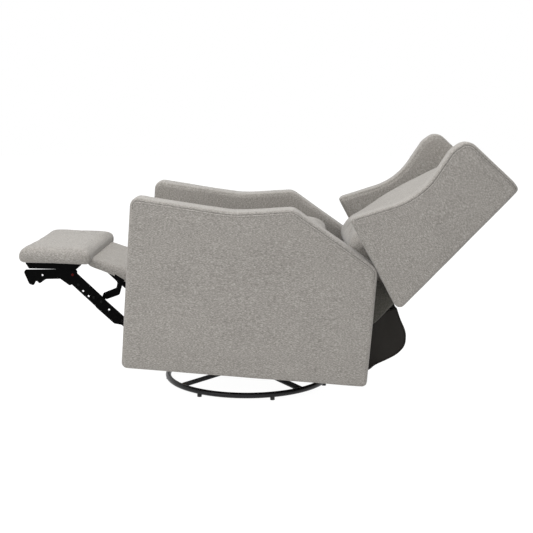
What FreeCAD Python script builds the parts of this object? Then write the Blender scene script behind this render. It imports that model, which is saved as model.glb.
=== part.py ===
# Swivel glider recliner, modelled with the back reclined, the footrest out
# and the seat glided to its rear stop. Millimetres, +Z up, front is -Y,
# the sitter's left is +X.
import FreeCAD, Part
import math
import os
import Sketcher
from FreeCAD import Placement, Rotation, Vector

doc = FreeCAD.newDocument("SwivelGliderRecliner")

# Driving dimensions. Heights and depths of the seat box are in its own
# frame, which stands level and is tilted about the ring centre as a whole.
driving = {
    # whole chair
    "ring_offset": -49.8,
    "glide_tilt": 4.33,
    "arm_thickness": 110.0,
    "run_gap": 0.3,
    # base ring and swivel
    "ring_radius": 300.0,
    "ring_tube": 20.0,
    "foot_height": 9.0,
    "foot_diameter": 16.0,
    "foot_count": 7,
    "brace_width": 32.0,
    "brace_thickness": 5.0,
    "brace_rise": 15.0,
    "hub_width": 225.0,
    "hub_thickness": 5.0,
    "race_radius": 96.0,
    "race_bore": 58.0,
    "race_thickness": 6.0,
    "ball_diameter": 9.0,
    "ball_count": 20,
    "kingpin_diameter": 16.0,
    "platform_width": 330.0,
    "platform_front": -226.0,
    "platform_rear": 184.0,
    "platform_thickness": 5.0,
    # glide linkage
    "tower_inner_x": 150.0,
    "plate_thickness": 5.0,
    "glide_link_length": 110.0,
    "glide_link_width": 26.0,
    "glide_pin_diameter": 12.0,
    "front_link_lean": 26.0,
    "rear_link_lean": 8.0,
    "glide_pivot_y": 160.0,
    "glide_pivot_z": 128.0,
    "open_pivot_slack": 5.0,
    # arms
    "arm_front": -427.0,
    "arm_rear": 408.0,
    "arm_bottom": 105.0,
    "arm_front_height": 688.0,
    "arm_dip_y": -85.0,
    "arm_dip_height": 661.0,
    "arm_shoulder_y": 115.0,
    "arm_shoulder_height": 688.0,
    "arm_rear_height": 510.0,
    "arm_outer_round": 9.0,
    # wooden box
    "panel_thickness": 18.0,
    "panel_front": -345.0,
    "panel_rear": 385.0,
    "panel_bottom": 118.0,
    "panel_height": 340.0,
    "panel_rear_height": 270.0,
    "rail_thickness": 24.0,
    "rail_height": 52.0,
    "block_leg": 60.0,
    # crossbars and carriage
    "crossbar_height": 28.0,
    "crossbar_depth": 17.0,
    "carriage_height": 38.0,
    "carriage_clear": 79.0,
    # footrest linkage, seen from the side
    "link_thickness": 4.0,
    "layer_pitch": 6.0,
    "pivot_pin": 10.0,
    "lower_link_y": -350.0,
    "lower_link_z": 158.0,
    "knee_y": -528.0,
    "knee_z": 299.0,
    "ankle_y": -634.0,
    "ankle_z": 386.0,
    "link_upper_half": 14.0,
    "link_lower_half": 28.0,
    # room between the arms
    "seat_width": 530.0,
    "seat_side_gap": 4.0,
    "inner_width": "=seat_width + 2 * seat_side_gap",
    # footrest pad and calf pad
    "pad_length": 260.0,
    "pad_side_gap": 6.0,
    "pad_width": "=seat_width - 2 * pad_side_gap",
    "pad_thickness": 54.0,
    "pad_pitch": 2.6,
    "pad_rear_y": -568.0,
    "pad_bottom_z": 427.0,
    "pad_crown": 7.0,
    "board_thickness": 12.0,
    "calf_length": 224.0,
    "calf_side_gap": 52.0,
    "calf_width": "=seat_width - 2 * calf_side_gap",
    "calf_thickness": 26.0,
    "calf_slope": 14.6,
    "calf_hinge_y": -345.0,
    "calf_hinge_z": 371.0,
    # seat
    "seat_front": -390.0,
    "seat_rear": 274.0,
    "seat_bottom": 452.0,
    "seat_thickness": 140.0,
    "seat_crown": 14.0,
    "frame_side_gap": 53.0,
    "seat_frame_width": "=seat_width - 2 * frame_side_gap",
    "seat_frame_front": -262.0,
    "seat_frame_rear": 236.0,
    "seat_frame_height": 44.0,
    "seat_frame_rail": 28.0,
    "seat_deck_thickness": 4.0,
    "lift_link_length": 62.0,
    "lift_link_lean": 67.2,
    "lift_front_y": -110.0,
    "lift_rear_y": 120.0,
    "lift_pivot_z": 398.0,
    # back, in its own frame: origin on the recline pivot, up along its rear
    "recline_y": 116.0,
    "recline_z": 299.0,
    "back_lean": 39.1,
    "back_rear": 239.0,
    "wing_thickness": 72.0,
    "wing_rear_lap": 4.0,
    "wing_top": 859.0,
    "wing_tip_y": -85.0,
    "wing_tip_height": 405.0,
    "wing_heel_height": 294.0,
    "back_side_gap": 4.0,
    "back_width": "=inner_width - 2 * back_side_gap",
    "middle_rail_drop": 300.0,
    "top_rail_drop": 60.0,
    "bracket_shoulder": 186.0,
    "back_board": 14.0,
    "back_post": 24.0,
    "back_post_depth": 35.0,
    "cushion_top": 830.0,
    "cushion_bottom": 292.0,
    "lower_back_foot": 189.0,
    # rear dust cover and release
    "cover_thickness": 5.0,
    "cover_rear": 540.0,
    "cover_belly_low": 205.0,
    "cover_belly_top": 268.0,
    "lever_length": 62.0,
}

sheet = doc.addObject("Spreadsheet::Sheet", "Sizes")
for row, (alias, value) in enumerate(driving.items(), start=1):
    sheet.set("A%d" % row, alias)
    sheet.set("B%d" % row, str(value))
    sheet.setAlias("B%d" % row, alias)
doc.recompute()


def size(alias):
    return float(getattr(sheet, alias))


half_inner = size("inner_width") / 2
half_outer = half_inner + size("arm_thickness")
tilt = size("glide_tilt")
run_gap = size("run_gap")
sides = {"left": 1, "right": -1}

# The frames in which the pieces are drawn.
base_frame = Placement(Vector(0, size("ring_offset"), 0), Rotation())
chair_frame = base_frame * Placement(Vector(), Rotation(Vector(1, 0, 0), -tilt))
recline_pivot = Vector(0, size("recline_y"), size("recline_z"))
back_frame = chair_frame * Placement(recline_pivot, Rotation(Vector(1, 0, 0), -size("back_lean")))
nodes = []


def keep(piece, label, frame):
    piece.Label = label
    piece.Placement = frame * piece.Placement
    nodes.append(piece)
    return piece


# Drawing helpers

def rounded_loop(corners):
    """Lines and tangent arcs through (across, up, radius) corners."""
    points = [Vector(a, b, 0) for a, b, radius in corners]
    trims = []
    for i, point in enumerate(points):
        before = points[i - 1]
        after = points[(i + 1) % len(points)]
        to_before = (before - point).normalize()
        to_after = (after - point).normalize()
        radius = corners[i][2]
        if radius == 0:
            trims.append((point, None, point))
            continue
        turn = math.pi - to_before.getAngle(to_after)
        trim = radius * math.tan(turn / 2)
        bisector = (to_before + to_after).normalize()
        centre = point + bisector * (radius / math.cos(turn / 2))
        middle = centre - bisector * radius
        trims.append((point + to_before * trim, middle, point + to_after * trim))
    shapes = []
    for i, (start, middle, end) in enumerate(trims):
        if middle is not None:
            shapes.append(Part.Arc(start, middle, end))
        shapes.append(Part.LineSegment(end, trims[(i + 1) % len(trims)][0]))
    return shapes


def circle(across, up, diameter):
    return Part.Circle(Vector(across, up, 0), Vector(0, 0, 1), diameter / 2)


def loop_between(start, end, upper, lower):
    """Outline of a flat link: round ends on two pivots, unequal halves."""
    along = Vector(end[0] - start[0], end[1] - start[1], 0).normalize()
    across = Vector(-along.y, along.x, 0)
    low = Vector(start[0], start[1], 0) - along * upper
    high = Vector(end[0], end[1], 0) + along * upper
    spots = [low - across * upper, high - across * upper, high + across * lower, low + across * lower]
    radius = (upper + lower) / 2 * 0.96
    return rounded_loop([(spot.x, spot.y, radius) for spot in spots])


def plane_of(body, role):
    return [item for item in body.Origin.OriginFeatures if item.Role == role][0]


def sketch_in(body, role, shapes, height=0):
    sketch = body.newObject("Sketcher::SketchObject", "Outline")
    sketch.AttachmentSupport = (plane_of(body, role), [""])
    sketch.MapMode = "FlatFace"
    sketch.AttachmentOffset = Placement(Vector(0, 0, height), Rotation())
    sketch.addGeometry(shapes, False)
    return sketch


def pad_piece(label, frame, role, shapes, thickness, start=0, round_sides=None):
    """A flat piece: an outline padded square to one origin plane."""
    body = doc.addObject("PartDesign::Body", label)
    sketch = sketch_in(body, role, shapes, start)
    pad = body.newObject("PartDesign::Pad", "Thickness")
    pad.Profile = sketch
    pad.setExpression("Length", thickness)
    if round_sides:
        doc.recompute()
        offsets, radius = round_sides
        names = [
            "Edge%d" % (i + 1)
            for i, edge in enumerate(pad.Shape.Edges)
            if any(
                abs(vertex.X - offset) < 0.01 and abs(edge.Vertexes[-1].X - offset) < 0.01
                for offset in offsets
                for vertex in edge.Vertexes[:1]
            )
        ]
        fillet = body.newObject("PartDesign::Fillet", "SoftEdge")
        fillet.Base = (pad, names)
        fillet.setExpression("Radius", radius)
    return keep(body, label, frame)


def plate(label, frame, shapes, inner_x, side, thickness="Sizes.plate_thickness"):
    """A plate square to X whose inner face is inner_x from the middle."""
    depth = size(thickness.split(".")[1])
    start = inner_x if side > 0 else -inner_x - depth
    return pad_piece(label, frame, "YZ_Plane", shapes, thickness, start)


def box(label, frame, low, lengths):
    """A Part::Box; each length is an expression or a number."""
    piece = doc.addObject("Part::Box", label)
    for prop, length in zip(("Length", "Width", "Height"), lengths):
        if isinstance(length, str):
            piece.setExpression(prop, length)
        else:
            setattr(piece, prop, length)
    piece.Placement = Placement(Vector(*low), Rotation())
    if frame:
        keep(piece, label, frame)
    return piece


def rod(name, start, axis, length, diameter):
    """A Part::Cylinder from start along axis; diameter is an expression."""
    piece = doc.addObject("Part::Cylinder", name)
    piece.setExpression("Radius", "(%s) / 2" % diameter)
    piece.Height = length
    piece.Placement = Placement(Vector(*start), Rotation(Vector(0, 0, 1), Vector(*axis)))
    return piece


def joined(label, frame, pieces, kind="Part::MultiFuse"):
    piece = doc.addObject(kind, label)
    if kind == "Part::Compound":
        piece.Links = pieces
    else:
        piece.Shapes = pieces
    return keep(piece, label, frame)


def cut(name, base, tool):
    piece = doc.addObject("Part::Cut", name)
    piece.Base = base
    piece.Tool = tool
    return piece


def feature(label, frame, shape):
    """A sewn or formed piece whose solid is made with Part's functions."""
    piece = doc.addObject("Part::Feature", label)
    piece.Shape = shape
    return keep(piece, label, frame)


def polar(radius, angle, height):
    """A point by its angle from +Y towards +X."""
    turn = math.radians(angle)
    return Vector(radius * math.sin(turn), radius * math.cos(turn), height)


# Base: ring, braces, hub and the swivel bearing
ring_height = size("foot_height") + size("ring_tube") / 2
first_brace = 50.0
first_foot = 123.0
brace_end_height = ring_height + 2.0
hub_bottom = brace_end_height + size("brace_thickness") + size("brace_rise")


def ring_torus(name, clearance):
    torus = doc.addObject("Part::Torus", name)
    torus.setExpression("Radius1", "Sizes.ring_radius")
    torus.setExpression("Radius2", "Sizes.ring_tube / 2 + %s" % clearance)
    torus.Placement = Placement(Vector(0, 0, ring_height), Rotation())
    return torus


def foot_ring():
    keep(ring_torus("foot_ring", 0), "foot_ring", base_frame)


def foot_glides():
    feet = []
    for i in range(int(size("foot_count"))):
        angle = first_foot + i * 360.0 / size("foot_count")
        spot = polar(size("ring_radius"), angle, 0)
        peg = rod("Peg%d" % i, spot, (0, 0, 1), ring_height, "Sizes.foot_diameter")
        feet.append(cut("Foot%d" % i, peg, ring_torus("FootSeat%d" % i, 0)))
    joined("foot_glides", base_frame, feet, "Part::Compound")


def ring_braces():
    hub_reach = size("hub_width") / 2
    ring_reach = size("ring_radius")
    arms = []
    for i in range(4):
        angle = first_brace + 90 * i
        run = ring_reach - hub_reach
        length = math.hypot(run, size("brace_rise"))
        slope = math.degrees(math.atan2(size("brace_rise"), run))
        bar = box("BraceBar%d" % i, None, (0, 0, 0), (length, "Sizes.brace_width", "Sizes.brace_thickness"))
        across = Placement(Vector(0, -size("brace_width") / 2, 0), Rotation())
        heading = Rotation(Vector(0, 0, 1), 90 - angle)
        down = Rotation(Vector(0, 1, 0), slope)
        start = polar(hub_reach, angle, hub_bottom - size("brace_thickness"))
        bar.Placement = Placement(start, heading * down) * across
        arms.append(cut("Brace%d" % i, bar, ring_torus("BraceSeat%d" % i, 0)))
        foot = box("BraceFoot%d" % i, None, (0, 0, 0),
                   (hub_reach, "Sizes.brace_width", "Sizes.brace_thickness"))
        foot.Placement = Placement(polar(0, angle, hub_bottom - size("brace_thickness")), heading) * across
        arms.append(foot)
    joined("ring_braces", base_frame, arms)


def hub_plate():
    half = size("hub_width") / 2
    corners = [(-half, -half, 12), (half, -half, 12), (half, half, 12), (-half, half, 12)]
    turned = []
    heading = Rotation(Vector(0, 0, 1), 45 - first_brace)
    for across, up, radius in corners:
        spot = heading.multVec(Vector(across, up, 0)) * 0.9
        turned.append((spot.x, spot.y, radius))
    shapes = rounded_loop(turned) + [circle(0, 0, size("kingpin_diameter"))]
    pad_piece("hub_plate", base_frame, "XY_Plane", shapes, "Sizes.hub_thickness", hub_bottom)


race_bottom = hub_bottom + size("hub_thickness")
race_gap = 3.0
ball_height = race_bottom + size("race_thickness") + race_gap / 2
ball_circle = (size("race_radius") + size("race_bore")) / 2
platform_bottom = race_bottom + 2 * size("race_thickness") + race_gap


def swivel_race(label, bottom):
    """A ring plate with a ball groove turned into the face near the balls."""
    middle = ball_height - bottom
    top = size("race_thickness")
    groove = size("ball_diameter") / 2 + 0.1
    ring = Part.makeCylinder(size("race_radius"), top).cut(Part.makeCylinder(size("race_bore"), top))
    ring = ring.cut(Part.makeTorus(ball_circle, groove, Vector(0, 0, middle)))
    ring.translate(Vector(0, 0, bottom))
    feature(label, base_frame, ring)


def swivel_balls():
    balls = []
    for i in range(int(size("ball_count"))):
        ball = doc.addObject("Part::Sphere", "Ball%d" % i)
        ball.setExpression("Radius", "Sizes.ball_diameter / 2")
        place = polar(ball_circle, i * 360.0 / size("ball_count"), ball_height)
        ball.Placement = Placement(place, Rotation())
        balls.append(ball)
    joined("swivel_balls", base_frame, balls, "Part::Compound")


def kingpin():
    top = platform_bottom + size("platform_thickness")
    shank = rod("Shank", (0, 0, hub_bottom), (0, 0, 1), top + run_gap - hub_bottom, "Sizes.kingpin_diameter")
    head = rod("Head", (0, 0, top + run_gap), (0, 0, 1), 7, "Sizes.kingpin_diameter + 14")
    joined("kingpin", base_frame, [shank, head])


def swivel_platform():
    half = size("platform_width") / 2
    front, rear = size("platform_front"), size("platform_rear")
    outline = rounded_loop([(-half, front, 14), (half, front, 14), (half, rear, 14), (-half, rear, 14)])
    hole = circle(0, 0, size("kingpin_diameter") + 2 * run_gap)
    window = 90.0
    for low, high in ((front + window, -size("race_radius") - 8), (size("race_radius") + 8, rear - 24)):
        outline += rounded_loop([(-half + window, low, 8), (half - window, low, 8),
                                 (half - window, high, 8), (-half + window, high, 8)])
    pad_piece("swivel_platform", base_frame, "XY_Plane", outline + [hole],
              "Sizes.platform_thickness", platform_bottom)


# Glide linkage: two towers turn on the swivel, two pairs of links hang in them
def tilted(y, z):
    turn = math.radians(tilt)
    return y * math.cos(turn) + z * math.sin(turn), z * math.cos(turn) - y * math.sin(turn)


def link_top(y, lean):
    low = tilted(y, size("glide_pivot_z"))
    turn = math.radians(lean)
    reach = size("glide_link_length")
    return low[0] - reach * math.sin(turn), low[1] + reach * math.cos(turn)


front_low = tilted(-size("glide_pivot_y"), size("glide_pivot_z"))
rear_low = tilted(size("glide_pivot_y"), size("glide_pivot_z"))
front_top = link_top(-size("glide_pivot_y"), size("front_link_lean"))
rear_top = link_top(size("glide_pivot_y"), size("rear_link_lean"))
platform_top = platform_bottom + size("platform_thickness")
link_inner = size("tower_inner_x") + size("plate_thickness") + 2.5
carriage_inner = link_inner + size("plate_thickness") + 2.5
pin_slack = 0.16


def glide_tower(side_name, side):
    boss = 18.0
    outline = rounded_loop([
        (size("platform_front") + 4, platform_top, 0), (size("platform_rear") - 4, platform_top, 0),
        (rear_top[0] + boss, rear_top[1] + boss, boss * 0.95),
        (rear_top[0] - boss, rear_top[1] + boss, boss * 0.95),
        (rear_top[0] - 46, platform_top + 42, 24), (front_top[0] + 46, platform_top + 42, 24),
        (front_top[0] + boss, front_top[1] + boss, boss * 0.95),
        (front_top[0] - boss, front_top[1] + boss, boss * 0.95),
    ])
    wall = plate("TowerWall_" + side_name, base_frame, outline, size("tower_inner_x"), side)
    nodes.remove(wall)
    wall.Placement = Placement()
    parts = [wall]
    outer = size("tower_inner_x") + size("plate_thickness")
    for i, top in enumerate((front_top, rear_top)):
        reach = carriage_inner - 2.0 - outer
        parts.append(rod("TowerPin%d_%s" % (i, side_name), (side * outer, top[0], top[1]), (side, 0, 0),
                         reach, "Sizes.glide_pin_diameter"))
        parts.append(rod("TowerBoss%d_%s" % (i, side_name), (side * outer, top[0], top[1]), (side, 0, 0),
                         link_inner - outer - run_gap, "Sizes.glide_pin_diameter + 8"))
    joined("glide_tower_" + side_name, base_frame, parts)


def glide_links():
    spans = {"front": (front_top, front_low, size("open_pivot_slack")), "rear": (rear_top, rear_low, 0)}
    half = size("glide_link_width") / 2
    for where, (top, low, slack) in spans.items():
        for side_name, side in sides.items():
            shapes = loop_between(top, low, half, half)
            shapes.append(circle(top[0], top[1], size("glide_pin_diameter") + pin_slack))
            shapes.append(circle(low[0], low[1], size("glide_pin_diameter") + pin_slack + slack))
            plate("%s_glide_link_%s" % (where, side_name), base_frame, shapes, link_inner, side)


def platform_bolts():
    bolts = []
    for i in range(4):
        spot = polar((size("race_radius") + ball_circle) / 2 + 3, 45 + 90 * i, platform_top)
        bolts.append(rod("PlatformBolt%d" % i, spot, (0, 0, 1), 5, "12"))
    joined("platform_bolts", base_frame, bolts, "Part::Compound")


# Seat box: arms, side panels, rails, corner blocks
def arm_outline():
    return rounded_loop([
        (size("arm_front"), size("arm_bottom"), 14),
        (size("arm_rear"), size("arm_bottom"), 10),
        (size("arm_rear"), size("arm_rear_height"), 36),
        (size("arm_shoulder_y"), size("arm_shoulder_height"), 42),
        (size("arm_dip_y"), size("arm_dip_height"), 420),
        (size("arm_front"), size("arm_front_height"), 26),
    ])


def arms():
    for side_name, side in sides.items():
        start = half_inner if side > 0 else -half_outer
        edges = ([half_outer * side, half_inner * side], "Sizes.arm_outer_round")
        pad_piece("arm_" + side_name, chair_frame, "YZ_Plane", arm_outline(),
                  "Sizes.arm_thickness", start, edges)


def side_panels():
    front, rear = size("panel_front"), size("panel_rear")
    bottom, top = size("panel_bottom"), size("panel_height")
    outline = [(front, bottom, 6), (rear, bottom, 6), (rear, size("panel_rear_height"), 10),
               (180, top, 20), (front, top, 20)]
    for side_name, side in sides.items():
        plate("side_panel_" + side_name, chair_frame, rounded_loop(outline),
              half_inner - size("panel_thickness"), side, "Sizes.panel_thickness")


box_half = half_inner - size("panel_thickness")
front_rail_y = size("panel_front") + 45.0
rear_rail_y = size("panel_rear") - size("rail_thickness")


def wooden_rails():
    for label, start in (("front_rail", front_rail_y), ("rear_rail", rear_rail_y)):
        box(label, chair_frame, (-box_half, start, size("panel_bottom")),
            ("Sizes.inner_width - 2 * Sizes.panel_thickness", "Sizes.rail_thickness", "Sizes.rail_height"))


block_height = size("glide_pivot_z") + size("carriage_height") / 2 - size("panel_bottom") - 2.0


def corner_blocks():
    leg = size("block_leg")
    blocks = []
    for side in sides.values():
        for wall, away in ((front_rail_y + size("rail_thickness"), 1), (rear_rail_y, -1)):
            corner = Vector(side * box_half, wall, size("panel_bottom"))
            points = [corner, corner + Vector(-side * leg, 0, 0), corner + Vector(0, away * leg, 0), corner]
            wedge = Part.Face(Part.makePolygon(points)).extrude(Vector(0, 0, block_height))
            blocks.append(wedge)
    feature("corner_blocks", chair_frame, Part.makeCompound(blocks))


# Carriage: the steel that hangs on the glide links and carries the box
carriage_bottom = size("glide_pivot_z") - size("carriage_height") / 2
carriage_top = carriage_bottom + size("carriage_height")
carriage_front = -size("glide_pivot_y") - size("carriage_clear") - size("crossbar_depth")
carriage_rear = size("glide_pivot_y") + size("carriage_clear") + size("crossbar_depth")
plate_inner = box_half - 8.0


def glide_carriage():
    y, z = size("glide_pivot_y"), size("glide_pivot_z")
    outline = [(carriage_front, carriage_bottom, 8), (carriage_rear, carriage_bottom, 8),
               (carriage_rear, carriage_top, 4), (carriage_front, carriage_top, 4)]
    parts = []
    for side_name, side in sides.items():
        wall = plate("CarriageWall_" + side_name, chair_frame, rounded_loop(outline), carriage_inner, side)
        nodes.remove(wall)
        wall.Placement = Placement()
        rail = [wall]
        for i, pivot in enumerate((-y, y)):
            reach = carriage_inner - link_inner + 1.5
            rail.append(rod("CarriagePin%d_%s" % (i, side_name), (side * carriage_inner, pivot, z),
                            (-side, 0, 0), reach, "Sizes.glide_pin_diameter"))
        fused = doc.addObject("Part::MultiFuse", "CarriageRail_" + side_name)
        fused.Shapes = rail
        parts.append(fused)
    for i, start in enumerate((carriage_front, carriage_rear - size("crossbar_depth"))):
        parts.append(box("Crossbar%d" % i, None, (-plate_inner, start, carriage_top),
                         (2 * plate_inner, "Sizes.crossbar_depth", "Sizes.crossbar_height")))
    joined("glide_carriage", chair_frame, parts, "Part::Compound")


# Recliner mechanism: flat links in parallel layers, inboard of a side plate

def layer(number):
    """Inner face of a link layer, counted inboard from the side plate."""
    return plate_inner - number * size("layer_pitch")


def with_pins(label, frame, shapes, inner_x, side, pins, thickness="Sizes.link_thickness"):
    """A plate with pins fused to it: (y, z, from_x, to_x, diameter)."""
    wall = plate(label + "_plate", frame, shapes, inner_x, side, thickness)
    nodes.remove(wall)
    wall.Placement = Placement()
    parts = [wall]
    for i, (y, z, near, far, diameter) in enumerate(pins):
        heading = side if far > near else -side
        parts.append(rod("%s_pin%d" % (label, i), (side * near, y, z), (heading, 0, 0),
                         abs(far - near), diameter))
    return joined(label, frame, parts)


hip = (size("lower_link_y"), size("lower_link_z"))
knee = (size("knee_y"), size("knee_z"))
ankle = (size("ankle_y"), size("ankle_z"))
pin_hole = size("pivot_pin") + pin_slack
thick = size("link_thickness")
lift_turn = math.radians(size("lift_link_lean"))
lift_drop = size("lift_link_length") * math.cos(lift_turn)
lift_back = size("lift_link_length") * math.sin(lift_turn)
lift_tops = {"front": (size("lift_front_y"), size("lift_pivot_z")),
             "rear": (size("lift_rear_y"), size("lift_pivot_z"))}
lift_feet = {where: (y - lift_back, z - lift_drop) for where, (y, z) in lift_tops.items()}


def mechanism_plates():
    over_rail = size("panel_bottom") + size("rail_height") + 2.0
    bottom = hip[1] - 16
    top = over_rail + 44
    block_end = front_rail_y + size("rail_thickness") + size("block_leg") + 3
    front, rear = lift_feet["front"], lift_feet["rear"]
    outline = rounded_loop([
        (hip[0] - 14, bottom, 12), (hip[0] + 14, bottom, 12), (front_rail_y - 6, over_rail, 8),
        (block_end, over_rail, 8), (block_end + 16, bottom, 8), (286, bottom, 8), (286, top - 12, 12),
        (172, top, 20),
        (142, recline_pivot.z + 20, 18), (rear[0] - 6, rear[1] + 18, 18), (rear[0] - 20, rear[1] + 4, 12),
        (rear[0] - 34, top + 10, 24), (front[0] + 36, top + 10, 24), (front[0] + 18, front[1] + 16, 14),
        (front[0] - 18, front[1] + 16, 14), (front[0] - 30, top, 30), (hip[0] + 16, top, 20),
        (hip[0] - 14, hip[1] + 16, 12),
    ])
    pins = [
        (hip[0], hip[1], plate_inner, layer(1) + run_gap, "Sizes.pivot_pin"),
        (recline_pivot.y, recline_pivot.z, plate_inner, layer(1) - 0.5, "Sizes.pivot_pin + 4"),
    ]
    for foot in lift_feet.values():
        pins.append((foot[0], foot[1], plate_inner, layer(4) - 0.5, "Sizes.pivot_pin"))
    for y in (-180, 20, 262):
        height = (bottom + top) / 2
        pins.append((y, height, plate_inner + thick, box_half, "14"))
        pins.append((y, height, plate_inner, plate_inner - 3.0, "13"))
    for side_name, side in sides.items():
        with_pins("mechanism_plate_" + side_name, chair_frame, outline, plate_inner, side, pins)


def lower_links():
    along = Vector(knee[0] - hip[0], knee[1] - hip[1], 0).normalize()
    above = Vector(-along.y, along.x, 0) * -1
    upper, lower = size("link_upper_half"), size("link_lower_half")

    def spot(origin, run, offset, radius):
        point = Vector(origin[0], origin[1], 0) + along * run + above * offset
        return (point.x, point.y, radius)

    outline = rounded_loop([
        spot(hip, -upper, -upper, upper * 0.9), spot(hip, -upper, upper, upper * 0.9),
        spot(knee, upper, upper, upper * 0.9), spot(knee, upper, -lower, 16),
        spot(knee, -84, -lower, 6), spot(knee, -106, -upper, 10),
    ])
    holes = [circle(hip[0], hip[1], pin_hole)]
    reach = spot(knee, -38, -3, 0)
    holes.append(circle(reach[0], reach[1], 7))
    pins = [(knee[0], knee[1], layer(1), layer(2) - 0.5, "Sizes.pivot_pin")]
    for side_name, side in sides.items():
        with_pins("lower_link_" + side_name, chair_frame, outline + holes, layer(1), side, pins)


def upper_links():
    along = Vector(ankle[0] - knee[0], ankle[1] - knee[1], 0).normalize()
    above = Vector(along.y, -along.x, 0)
    upper, lower = size("link_upper_half"), size("link_lower_half")

    def spot(origin, run, offset, radius):
        point = Vector(origin[0], origin[1], 0) + along * run + above * offset
        return (point.x, point.y, radius)

    outline = rounded_loop([
        spot(knee, -upper, upper, upper * 0.9), spot(ankle, upper * 0.8, upper, upper * 0.8),
        spot(ankle, upper * 0.8, -upper, 8), spot(ankle, -18, -lower, 8), spot(knee, -upper, -lower, 14),
    ])
    holes = [circle(knee[0], knee[1], pin_hole)]
    for run in (46, 72):
        place = spot(knee, run, -18, 0)
        holes.append(circle(place[0], place[1], 7))
    pins = [(ankle[0], ankle[1], layer(2), layer(3) - 0.5, "Sizes.pivot_pin")]
    for side_name, side in sides.items():
        with_pins("upper_link_" + side_name, chair_frame, outline + holes, layer(2), side, pins)


def foot_rails():
    """Hooked rails under the pad, with the trapezoid flange that bolts to it."""
    y, z = ankle
    rail_top = z + 16
    outline = rounded_loop([
        (y + 14, z - 14, 11), (y + 14, rail_top + 2, 8), (y - 30, rail_top, 0), (y - 168, rail_top - 12, 8),
        (y - 172, z - 6, 8), (y - 152, z - 46, 8), (y - 136, z - 50, 6), (y - 128, z - 30, 5),
        (y - 116, z - 42, 5), (y - 94, z - 24, 8), (y - 44, z - 19, 6), (y - 8, z - 42, 8),
    ])
    holes = [circle(y, z, pin_hole), circle(y - 107, z - 11, 7)]
    return outline + holes


def foot_flange():
    y, z = ankle
    return rounded_loop([
        (y - 155, z + 9, 3), (y + 10, z + 18, 3), (y + 31, flange_top(y + 31), 3),
        (y - 170, flange_top(y - 170), 3)])


pad_frame = chair_frame * Placement(Vector(0, size("pad_rear_y"), size("pad_bottom_z")),
                                    Rotation(Vector(1, 0, 0), size("pad_pitch")))


def flange_top(y):
    """Height of the underside of the pad above a depth in the seat box."""
    slope = math.tan(math.radians(size("pad_pitch")))
    return size("pad_bottom_z") + (y - size("pad_rear_y")) * slope


def footrest_rails():
    for side_name, side in sides.items():
        rail = plate("RailPlate_" + side_name, chair_frame, foot_rails(), layer(3), side,
                     "Sizes.link_thickness")
        flange = plate("RailFlange_" + side_name, chair_frame, foot_flange(), layer(3), side,
                       "Sizes.link_thickness")
        for part in (rail, flange):
            nodes.remove(part)
            part.Placement = Placement()
        joined("footrest_rail_" + side_name, chair_frame, [rail, flange])


# Soft pieces: lofts through closed sections of lines and arcs
def crowned_section(y, half_width, bottom, top, crown, side_bulge):
    """A section square to Y: flat below, round sides, crowned top."""
    inset = side_bulge
    low_l = Vector(-half_width + inset, y, bottom)
    low_r = Vector(half_width - inset, y, bottom)
    high_r = Vector(half_width - inset, y, top)
    high_l = Vector(-half_width + inset, y, top)
    mid = (bottom + top) / 2
    edges = [
        Part.LineSegment(low_l, low_r).toShape(),
        Part.Arc(low_r, Vector(half_width, y, mid), high_r).toShape(),
        Part.Arc(high_r, Vector(0, y, top + crown), high_l).toShape(),
        Part.Arc(high_l, Vector(-half_width, y, mid), low_l).toShape(),
    ]
    return Part.Wire(edges)


def crowned_cushion(length, width, thickness, crown, bulge):
    """A cushion from y=-length to y=0 whose ends and sides draw in."""
    squareness = 6
    wires = []
    for station in (0.0, 0.02, 0.06, 0.14, 0.3, 0.5, 0.7, 0.86, 0.94, 0.98, 1.0):
        full = (1 - abs(2 * station - 1) ** squareness) ** (1 / 3)
        pull = (1 - full) * bulge
        wires.append(crowned_section(-length * (1 - station), width / 2 - pull * 0.6, pull * 0.5,
                                     thickness - pull - crown * 0.2, 0.5 + crown * full, bulge))
    return Part.makeLoft(wires, True, False)


board_inset = 6.0


def footrest_board():
    box("footrest_board", pad_frame,
        (-size("pad_width") / 2 + board_inset, -size("pad_length") + board_inset, 0),
        ("Sizes.pad_width - %s" % (2 * board_inset), "Sizes.pad_length - %s" % (2 * board_inset),
         "Sizes.board_thickness"))


def footrest_pad():
    board = size("board_thickness")
    solid = crowned_cushion(size("pad_length"), size("pad_width"), size("pad_thickness") - board,
                            size("pad_crown"), 9.0)
    solid.translate(Vector(0, 0, board + run_gap))
    feature("footrest_pad", pad_frame, solid)


calf_hinge = (size("calf_hinge_y"), size("calf_hinge_z"))
calf_frame = chair_frame * Placement(Vector(0, *calf_hinge), Rotation(Vector(1, 0, 0), -size("calf_slope")))
calf_board_thickness = 8.0
calf_half = size("calf_thickness") / 2
calf_hinge_diameter = 8.0


def calf_board():
    """The board of the calf flap, with the barrel of its hinge."""
    width = size("calf_width") - 12
    length = size("calf_length") - 20
    board = box("CalfBoard", None, (-width / 2, -length - 4, -calf_half),
                ("Sizes.calf_width - 12", length, calf_board_thickness))
    hinge = rod("CalfHinge", (-calf_hinge_reach, 0, 0), (1, 0, 0), 2 * calf_hinge_reach,
                "%s" % calf_hinge_diameter)
    leaf = box("CalfLeaf", None, (-width / 2, -6, -calf_half), (width, 10, calf_board_thickness + 2))
    bore = rod("CalfBore", (-width / 2, 0, 0), (1, 0, 0), width, "%s" % calf_hinge_diameter)
    joined("calf_board", calf_frame, [board, cut("CalfLeafCut", leaf, bore), hinge])


calf_hinge_reach = size("calf_width") / 2 + 5.0


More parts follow.
